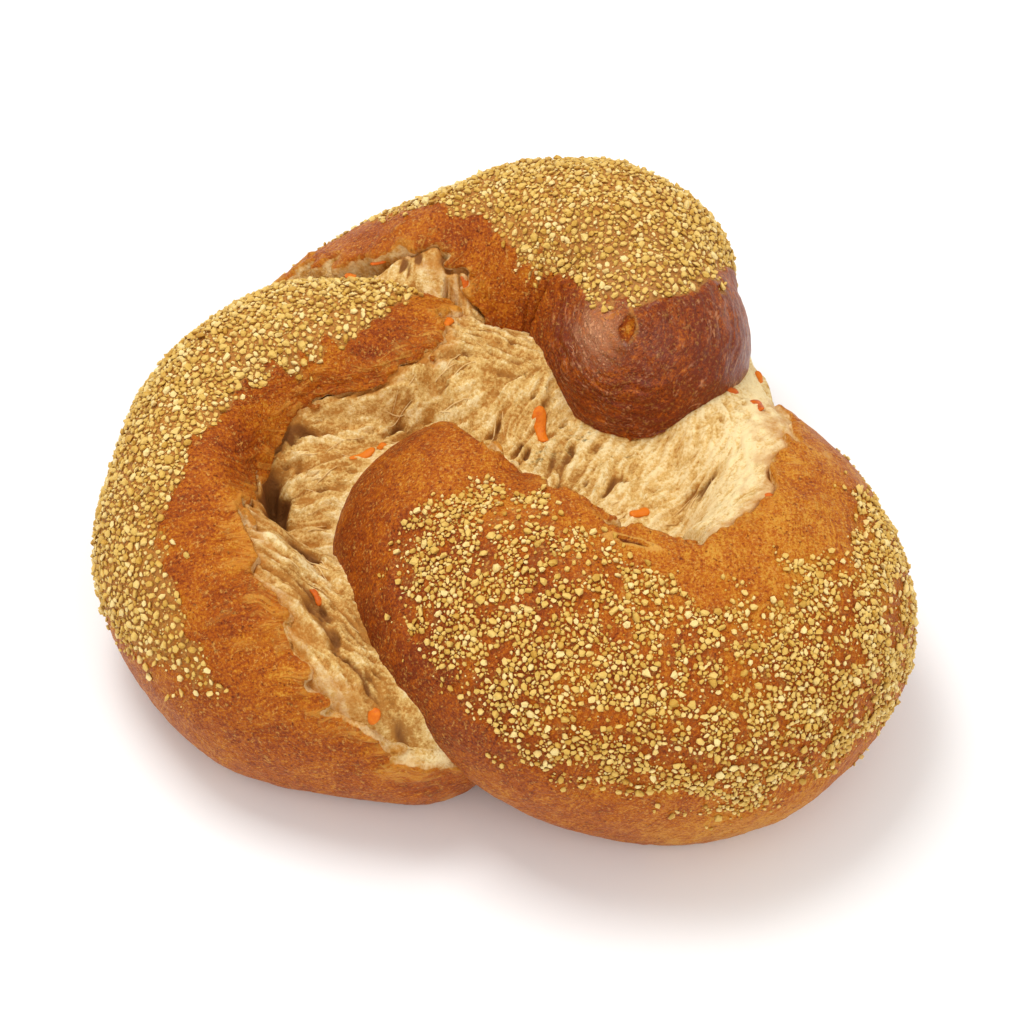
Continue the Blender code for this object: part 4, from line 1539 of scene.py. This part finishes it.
class Value:
    """A shader number, with arithmetic that adds Math nodes."""

    def __init__(self, graph: "Graph", socket: bpy.types.NodeSocket) -> None:
        """Keeps the graph and the socket that the number comes from."""
        self.graph = graph
        self.socket = socket

    def math(self, operation: str, other: "Value | float", swapped: bool = False) -> "Value":
        """Joins this number with another by one Math node.

        Args:
            operation: the node's operation.
            other: a number or a shader number.
            swapped: whether the other one comes first.

        Returns:
            The result.
        """
        pair = (other, self) if swapped else (self, other)
        made = self.graph.node("ShaderNodeMath", {"operation": operation}, {0: pair[0], 1: pair[1]})
        return Value(self.graph, made.outputs[0])

    def __add__(self, other: "Value | float") -> "Value":
        """This plus other."""
        return self.math("ADD", other)

    def __radd__(self, other: float) -> "Value":
        """Other plus this."""
        return self.math("ADD", other, True)

    def __sub__(self, other: "Value | float") -> "Value":
        """This minus other."""
        return self.math("SUBTRACT", other)

    def __rsub__(self, other: float) -> "Value":
        """Other minus this."""
        return self.math("SUBTRACT", other, True)

    def __mul__(self, other: "Value | float") -> "Value":
        """This times other."""
        return self.math("MULTIPLY", other)

    def __rmul__(self, other: float) -> "Value":
        """Other times this."""
        return self.math("MULTIPLY", other, True)

    def eased(self, low: float, high: float) -> "Value":
        """0 at low and 1 at high, with an S-shaped rise between them."""
        settings = {"interpolation_type": "SMOOTHSTEP"}
        made = self.graph.node("ShaderNodeMapRange", settings, {0: self, 1: low, 2: high})
        return Value(self.graph, made.outputs[0])


class Tone(NamedTuple):
    """A colour as it looks on a screen, 0 to 255 each."""

    red: float
    green: float
    blue: float

    def linear(self) -> tuple[float, float, float, float]:
        """The colour as shaders take it: each part freed of the screen's curve."""
        parts = (c / 255 for c in self)
        red, green, blue = (c / 12.92 if c <= 0.04045 else ((c + 0.055) / 1.055) ** 2.4 for c in parts)
        return red, green, blue, 1.0


class Graph:
    """The nodes of one material."""

    def __init__(self, name: str) -> None:
        """Starts a material with one Principled shader."""
        self.material = bpy.data.materials.new(name)
        self.material.use_nodes = True
        self.tree = self.material.node_tree
        self.shader = self.tree.nodes["Principled BSDF"]

    def node(self, kind: str, settings: dict[str, object], sockets: dict) -> bpy.types.Node:
        """Adds a node.

        Args:
            kind: the node's type.
            settings: its own settings, set first; stops fills a colour ramp.
            sockets: a number, colour or link for each input that is named or counted.

        Returns:
            The node.
        """
        made = self.tree.nodes.new(kind)
        for key, value in settings.items():
            if key == "stops":
                ramp = made.color_ramp
                while len(ramp.elements) < len(value):
                    ramp.elements.new(0.5)
                for element, (place, tone) in zip(ramp.elements, value, strict=True):
                    element.position = place
                    element.color = tone.linear()
            else:
                setattr(made, key, value)
        for key, value in sockets.items():
            self.feed(made.inputs[key], value)
        return made

    def feed(self, socket: bpy.types.NodeSocket, value: object) -> None:
        """Links a shader number or a socket to an input, or sets its own value."""
        if isinstance(value, Value):
            value = value.socket
        if isinstance(value, bpy.types.NodeSocket):
            self.tree.links.new(value, socket)
        elif isinstance(value, Tone):
            socket.default_value = value.linear()
        else:
            socket.default_value = value

    def kept(self, name: str) -> Value:
        """A number kept on the mesh's vertices."""
        made = self.node("ShaderNodeAttribute", {"attribute_name": name}, {})
        return Value(self, made.outputs["Fac"])

    def place(self) -> bpy.types.NodeSocket:
        """Object coordinates, in metres."""
        return self.node("ShaderNodeTexCoord", {}, {}).outputs["Object"]

    def noise(self, size: float, detail: float = 3, rough: float = 0.55, where: object = None) -> Value:
        """Noise from 0 to 1 whose lumps are about size millimetres across."""
        sockets = {
            "Vector": where or self.place(),
            "Scale": 1 / (size * MM),
            "Detail": detail,
            "Roughness": rough,
        }
        return Value(self, self.node("ShaderNodeTexNoise", {}, sockets).outputs["Fac"])

    def drawn(self, size: float, long: float) -> Value:
        """Streaks from 0 to 1 along the way that the crust was drawn, size wide, long times longer."""
        along, aside = (self.kept(name) * (1 / long) for name in ("along", "aside"))
        parts = {"X": along, "Y": aside, "Z": self.kept("across")}
        where = self.node("ShaderNodeCombineXYZ", {}, parts).outputs[0]
        return self.noise(size, 3, 0.6, where)

    def ramp(self, value: Value, stops: tuple[tuple[float, Tone], ...]) -> bpy.types.NodeSocket:
        """The colour that value picks from the stops."""
        return self.node("ShaderNodeValToRGB", {"stops": stops}, {0: value}).outputs["Color"]

    def mix(self, share: Value | float, first: object, second: object) -> bpy.types.NodeSocket:
        """First where share is 0 and second where it is 1."""
        made = self.node("ShaderNodeMix", {"data_type": "RGBA"}, {})
        for key, value in (("Factor_Float", share), ("A_Color", first), ("B_Color", second)):
            found = next(s for s in made.inputs if s.identifier == key)
            self.feed(found, value)
        return next(s for s in made.outputs if s.identifier == "Result_Color")

    def bumped(self, height: Value, depth: float, strength: float = 1.0) -> None:
        """Sends a height of 0 to 1, depth millimetres deep, to the shader's normal."""
        sockets = {"Height": height, "Distance": depth * MM, "Strength": strength}
        made = self.node("ShaderNodeBump", {}, sockets)
        self.feed(self.shader.inputs["Normal"], made.outputs[0])

    def finish(self, sockets: dict[str, object]) -> bpy.types.Material:
        """Sets the shader's inputs by name and hands over the material."""
        for key, value in sockets.items():
            self.feed(self.shader.inputs[key], value)
        return self.material


@dataclass(frozen=True)
class CrumbFinish:
    """Pale, fibrous crumb: toasted near the crust, with painted light on its crests and painted shade in
    its hollows.
    """

    pale: Tone = Tone(250, 224, 166)
    cream: Tone = Tone(224, 180, 102)
    straw: Tone = Tone(184, 122, 44)
    toasted: Tone = Tone(188, 116, 32)
    # The deep tone is the painted shade in the crumb's hollows.
    deep: Tone = Tone(112, 62, 18)

    def colour(self, graph: Graph, beyond: Value, relief: Value, pale: Value) -> bpy.types.NodeSocket:
        """The crumb's colour.

        Args:
            graph: the material's nodes.
            beyond: distance from the crust in millimetres.
            relief: height above or below the crumb's level, in millimetres.
            pale: how pale the crumb is, 0 to 1.

        Returns:
            The colour.
        """
        mottle = (graph.noise(4, 4) - 0.5) * 1.05 + (graph.noise(0.7, 4, 0.7) - 0.5) * 1.6
        # Painted light and shade: the level follows the relief, so crests are painted paler and hollows
        # darker.
        level = mottle + pale * 0.38 + relief * 0.22 + 0.22
        base = graph.ramp(level, ((0.05, self.straw), (0.4, self.cream), (0.8, self.pale)))
        near = 1 - (beyond + (graph.noise(2.2, 4) - 0.5) * 12).eased(-1.5, 8.5)
        warm = graph.mix(near * 0.75, base, self.toasted)
        # Painted shade: the deepest hollows are mixed towards the deep tone.
        low = 1 - relief.eased(-2.2, -0.3)
        return graph.mix(low * 0.8, warm, self.deep)

    def make(self) -> bpy.types.Material:
        """The crumb's own material."""
        graph = Graph("crumb")
        kept = (graph.kept(name) for name in ("beyond", "relief", "pale"))
        colour = self.colour(graph, *kept)
        height = graph.noise(0.9, 4, 0.65) * 0.6 + graph.noise(0.32, 3, 0.6) * 0.4
        graph.bumped(height, 0.6)
        sockets = {"Base Color": colour, "Roughness": 0.72, "Specular IOR Level": 0.35}
        return graph.finish(sockets)


@dataclass(frozen=True)
class StrandFinish:
    """Drawn dough, a little glossier and more golden than the crumb."""

    light: Tone = Tone(236, 204, 142)
    golden: Tone = Tone(216, 170, 96)

    def make(self) -> bpy.types.Material:
        """The strands' material."""
        graph = Graph("strands")
        colour = graph.ramp(graph.noise(4, 3), ((0.35, self.golden), (0.6, self.light)))
        return graph.finish({"Base Color": colour, "Roughness": 0.55, "Specular IOR Level": 0.35})


@dataclass(frozen=True)
class CrustFinish:
    """Baked crust, from pale gold to deep red-brown, satin, and glossy on the knob, with painted glints
    and highlights on the knob and painted shade in its pits and slits.
    """

    gold: Tone = Tone(208, 144, 50)
    amber: Tone = Tone(192, 114, 24)
    orange: Tone = Tone(174, 86, 12)
    russet: Tone = Tone(148, 66, 14)
    brown: Tone = Tone(118, 44, 12)
    fleck: Tone = Tone(222, 164, 78)
    # The glint tone is the painted highlight on the knob.
    painted_glint: Tone = Tone(224, 158, 112)
    lip: Tone = Tone(220, 152, 58)
    tan: Tone = Tone(196, 142, 70)
    # The pit tone is painted shade in the crust's pin-holes and inside its slits.
    pit_shade: Tone = Tone(92, 38, 12)
    crumb: CrumbFinish = CrumbFinish()

    def make(self) -> bpy.types.Material:
        """The crust's material, which turns to crumb beyond the crust's edge."""
        graph = Graph("crust")
        dark = graph.kept("dark")
        cloud = graph.noise(14, 4, 0.6) - 0.5
        mottle = graph.noise(2.6, 4, 0.62) - 0.5
        speck = graph.noise(0.6, 3, 0.7) - 0.5
        streak = graph.kept("streak")
        brushed = graph.drawn(0.8, 6) - 0.5
        knob = dark.eased(0.76, 0.9)
        shade = dark + cloud * 0.7 + mottle * (0.8 + knob * 0.6) + speck * 1.5
        shade = shade + brushed * 0.8 - streak * 0.08
        tones = (self.gold, self.amber, self.orange, self.russet, self.brown)
        crust = graph.ramp(shade, tuple(zip((0.08, 0.32, 0.52, 0.74, 1.0), tones, strict=True)))
        dusted = (graph.kept("dust") + mottle * 1.5 + speck).eased(0.2, 0.8)
        crust = graph.mix(dusted * 0.6, crust, self.tan)
        # Pale flecks: partly the crust's own pale blisters, partly painted highlights on them.
        flecks = (graph.noise(0.8, 4, 0.7) + mottle * 0.3).eased(0.54, 0.68) * (1 - knob * 0.5)
        crust = graph.mix(flecks * 0.6, crust, self.fleck)
        # Painted highlights on the knob: short arcs along its wrinkles, bunched in patches and round the
        # listed highlights, and a broad painted sheen there, all mixed into the colour; the arcs are
        # bumped a little too.
        patches = (graph.noise(5, 3, 0.6) + mottle * 0.3).eased(0.46, 0.6)
        shine = graph.kept("shine")
        glint_arcs = (graph.drawn(0.6, 2) + shine * 0.03).eased(0.54, 0.62) * knob
        glint_arcs = glint_arcs * (patches * 0.55 + shine * 0.7)
        crust = graph.mix(glint_arcs * 0.8, crust, self.painted_glint)
        crust = graph.mix((shine * 1.3 + mottle + speck).eased(0.3, 1.4) * knob * 0.5, crust, self.painted_glint)
        # Painted shade in small pin-holes, which the bump also dents a little.
        pits = (graph.noise(1.2, 3, 0.6) + speck * 0.4).eased(0.66, 0.76)
        crust = graph.mix(pits * 0.55, crust, self.pit_shade)
        flaky = graph.kept("flaky")
        lip = (flaky + mottle + speck + brushed * 3 + streak * 0.2).eased(0.7, 1.3)
        crust = graph.mix(lip * 0.6, crust, self.lip)
        webs = (graph.kept("web") + speck * 2.5 + mottle * 2).eased(0.5, 1.2) * flaky.eased(0.1, 0.5)
        crust = graph.mix(webs * 0.3, crust, self.fleck)
        gape = graph.kept("gape")
        # Painted shade inside the slits' tears, which the rope's relief sinks.
        crust = graph.mix(gape.eased(0.3, 0.9) * 0.75, crust, self.pit_shade)
        # Raised lips round the slits and the navel are painted pale; on the navel's right side this is a
        # painted highlight.
        crust = graph.mix((0 - gape).eased(0.05, 0.25) * 0.7, crust, self.fleck)
        torn = (graph.kept("torn") + mottle * 0.6).eased(0.35, 0.65)
        # The torn side takes the crumb's colour, with noise as its relief, so it gets the crumb's
        # painted shade and painted light too.
        relief = graph.noise(2.2, 3) * 5 - 2.1 + streak * 0.8
        crumb = self.crumb.colour(graph, graph.kept("beyond") + 2, relief, 0.8 + mottle)
        colour = graph.mix(torn, crust, crumb)
        glossy = knob * (1 - torn)
        rough = 0.46 + mottle * 0.3 + torn * 0.3 - glossy * 0.12
        fine = graph.noise(0.5, 3, 0.65) * 0.4 + graph.noise(1.4, 4, 0.6) * 0.6 - pits * 0.15
        folds = graph.drawn(1.6, 4) * knob
        graph.bumped(fine + brushed * 0.6 + webs * 0.15 + folds * 1.2 + glint_arcs * 0.3, 0.8)
        sockets = {
            "Base Color": colour,
            "Roughness": rough,
            "Coat Weight": glossy * 0.25,
            "Coat Roughness": 0.25,
            "Specular IOR Level": 0.12,
        }
        return graph.finish(sockets)


@dataclass(frozen=True)
class GritsFinish:
    """Broken maize: each grain its own yellow, with painted shade on its lower part where it meets the
    crust.
    """

    honey: Tone = Tone(200, 150, 52)
    maize: Tone = Tone(218, 176, 80)
    cream: Tone = Tone(230, 192, 102)
    white: Tone = Tone(244, 218, 146)
    # The foot tone is the painted shade on a grain's lower part.
    foot: Tone = Tone(128, 76, 24)

    def make(self) -> bpy.types.Material:
        """The grits' material."""
        graph = Graph("grits")
        tint = graph.kept("tint") + (graph.noise(0.8, 2) - 0.5) * 0.4
        stops = ((0.0, self.honey), (0.25, self.maize), (0.7, self.cream), (0.97, self.white))
        colour = graph.ramp(tint, stops)
        # Painted shade: the grain's lower part is mixed towards the foot tone.
        low = 1 - graph.kept("high").eased(0.1, 0.75)
        colour = graph.mix(low * 0.7, colour, self.foot)
        graph.bumped(graph.noise(0.3, 2), 0.15)
        return graph.finish({"Base Color": colour, "Roughness": 0.5, "Specular IOR Level": 0.35})


@dataclass(frozen=True)
class CarrotFinish:
    """Moist baked carrot, browned here and there."""

    bright: Tone = Tone(224, 120, 20)
    deep: Tone = Tone(206, 94, 10)
    browned: Tone = Tone(168, 78, 18)

    def make(self) -> bpy.types.Material:
        """The carrot's material."""
        graph = Graph("carrot")
        streak = graph.noise(1.1, 3)
        stops = ((0.2, self.browned), (0.4, self.deep), (0.62, self.bright))
        colour = graph.ramp(streak * 0.7 + graph.kept("tint") * 0.35, stops)
        graph.bumped(graph.noise(0.5, 3), 0.2)
        return graph.finish({"Base Color": colour, "Roughness": 0.42, "Specular IOR Level": 0.2})


class Lamp(NamedTuple):
    """A square light that faces the loaf: its place and side in metres, and its power in watts."""

    name: str
    place: tuple[float, float, float]
    side: float
    power: float


@dataclass
class Studio:
    """A pale floor, soft light and a camera at the photograph's angle."""

    image: int = 1024
    focal_pixels: float = 3300
    middle_x: float = 505
    middle_y: float = 513
    elevation: float = 50
    distance: float = 0.75
    aim_height: float = 0.035
    sensor: float = 36
    floor_side: float = 30
    floor_gap: float = 0.0004
    floor_tone: Tone = Tone(250, 250, 249)
    sky: float = 0.8
    lamps: tuple[Lamp, ...] = rows(
        Lamp, ("key", (-0.22, 0.16, 1.0), 0.4, 5.0), ("fill", (0.3, -0.7, 0.7), 0.6, 1.8)
    )

    def build(self) -> None:
        """Puts the floor, the lights and the camera in the scene."""
        self.floor()
        self.lights()
        self.camera()

    def floor(self) -> None:
        """A plain floor sheet just under the loaf."""
        half = self.floor_side / 2
        signs = ((-1, -1), (1, -1), (1, 1), (-1, 1))
        corners = [(i * half, j * half, -self.floor_gap) for i, j in signs]
        mesh = bpy.data.meshes.new("floor")
        mesh.from_pydata(corners, [], [(0, 1, 2, 3)])
        sheet = bpy.data.objects.new("floor", mesh)
        bpy.context.scene.collection.objects.link(sheet)
        graph = Graph("floor")
        sheet.data.materials.append(graph.finish({"Base Color": self.floor_tone, "Roughness": 0.9}))

    def lights(self) -> None:
        """One large soft light high at the back left, a weaker one in front, and a white sky."""
        scene = bpy.context.scene
        world = bpy.data.worlds.new("sky")
        world.use_nodes = True
        for socket, value in zip(("Color", "Strength"), ((1, 1, 1, 1), self.sky), strict=True):
            world.node_tree.nodes["Background"].inputs[socket].default_value = value
        scene.world = world
        for row in self.lamps:
            light = bpy.data.lights.new(row.name, "AREA")
            light.size = row.side
            light.energy = row.power
            lamp = bpy.data.objects.new(row.name, light)
            lamp.location = row.place
            lamp.rotation_euler = (-Vector(row.place)).to_track_quat("-Z", "Y").to_euler()
            scene.collection.objects.link(lamp)
        scene.view_settings.view_transform = "Standard"
        scene.view_settings.look = "None"

    def camera(self) -> None:
        """The camera, which looks down at the loaf from the front."""
        lens = bpy.data.cameras.new("camera")
        camera = bpy.data.objects.new("camera", lens)
        tilt = math.radians(self.elevation)
        low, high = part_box(NODE)
        x, y = ((a + b) / 2 - c * MM for a, b, c in zip(low.xy, high.xy, LAID_OUT_MIDDLE, strict=True))
        aim = Vector((x, y, self.aim_height))
        camera.location = aim + Vector((0, -math.cos(tilt), math.sin(tilt))) * self.distance
        camera.rotation_euler = (math.pi / 2 - tilt, 0, 0)
        lens.sensor_width = self.sensor
        lens.lens = self.focal_pixels / self.image * self.sensor
        lens.shift_x = (self.image / 2 - self.middle_x) / self.image
        lens.shift_y = (self.middle_y - self.image / 2) / self.image
        lens.clip_start = 0.01
        bpy.context.scene.collection.objects.link(camera)
        bpy.context.scene.camera = camera


def dress(piece: bpy.types.Object, finish: bpy.types.Material) -> None:
    """Gives a piece its finish, and reports it."""
    piece.data.materials.append(finish)
    LOG.info("%s: %d faces", piece.name, len(piece.data.polygons))


def main() -> None:
    """Builds the ropes, the crumb, the grits and the carrot, dresses them, and sets the scene."""
    logging.basicConfig(level=logging.INFO, format="%(message)s")
    Studio().build()
    ropes = {rope.name: rope for rope in (left_rope(), back_rope(), front_rope())}
    crust = CrustFinish().make()
    for rope in ropes.values():
        rope.shape()
        dress(rope.build(), crust)
    crumb = Crumb()
    dress(crumb.build(ropes), CrumbFinish().make())
    grits = GritsFinish().make()
    for piece in Grits().build(ropes, crumb):
        dress(piece, grits)
    dress(Strands().build(crumb), StrandFinish().make())
    dress(Carrot().build(crumb), CarrotFinish().make())


if __name__ == "__main__":
    main()
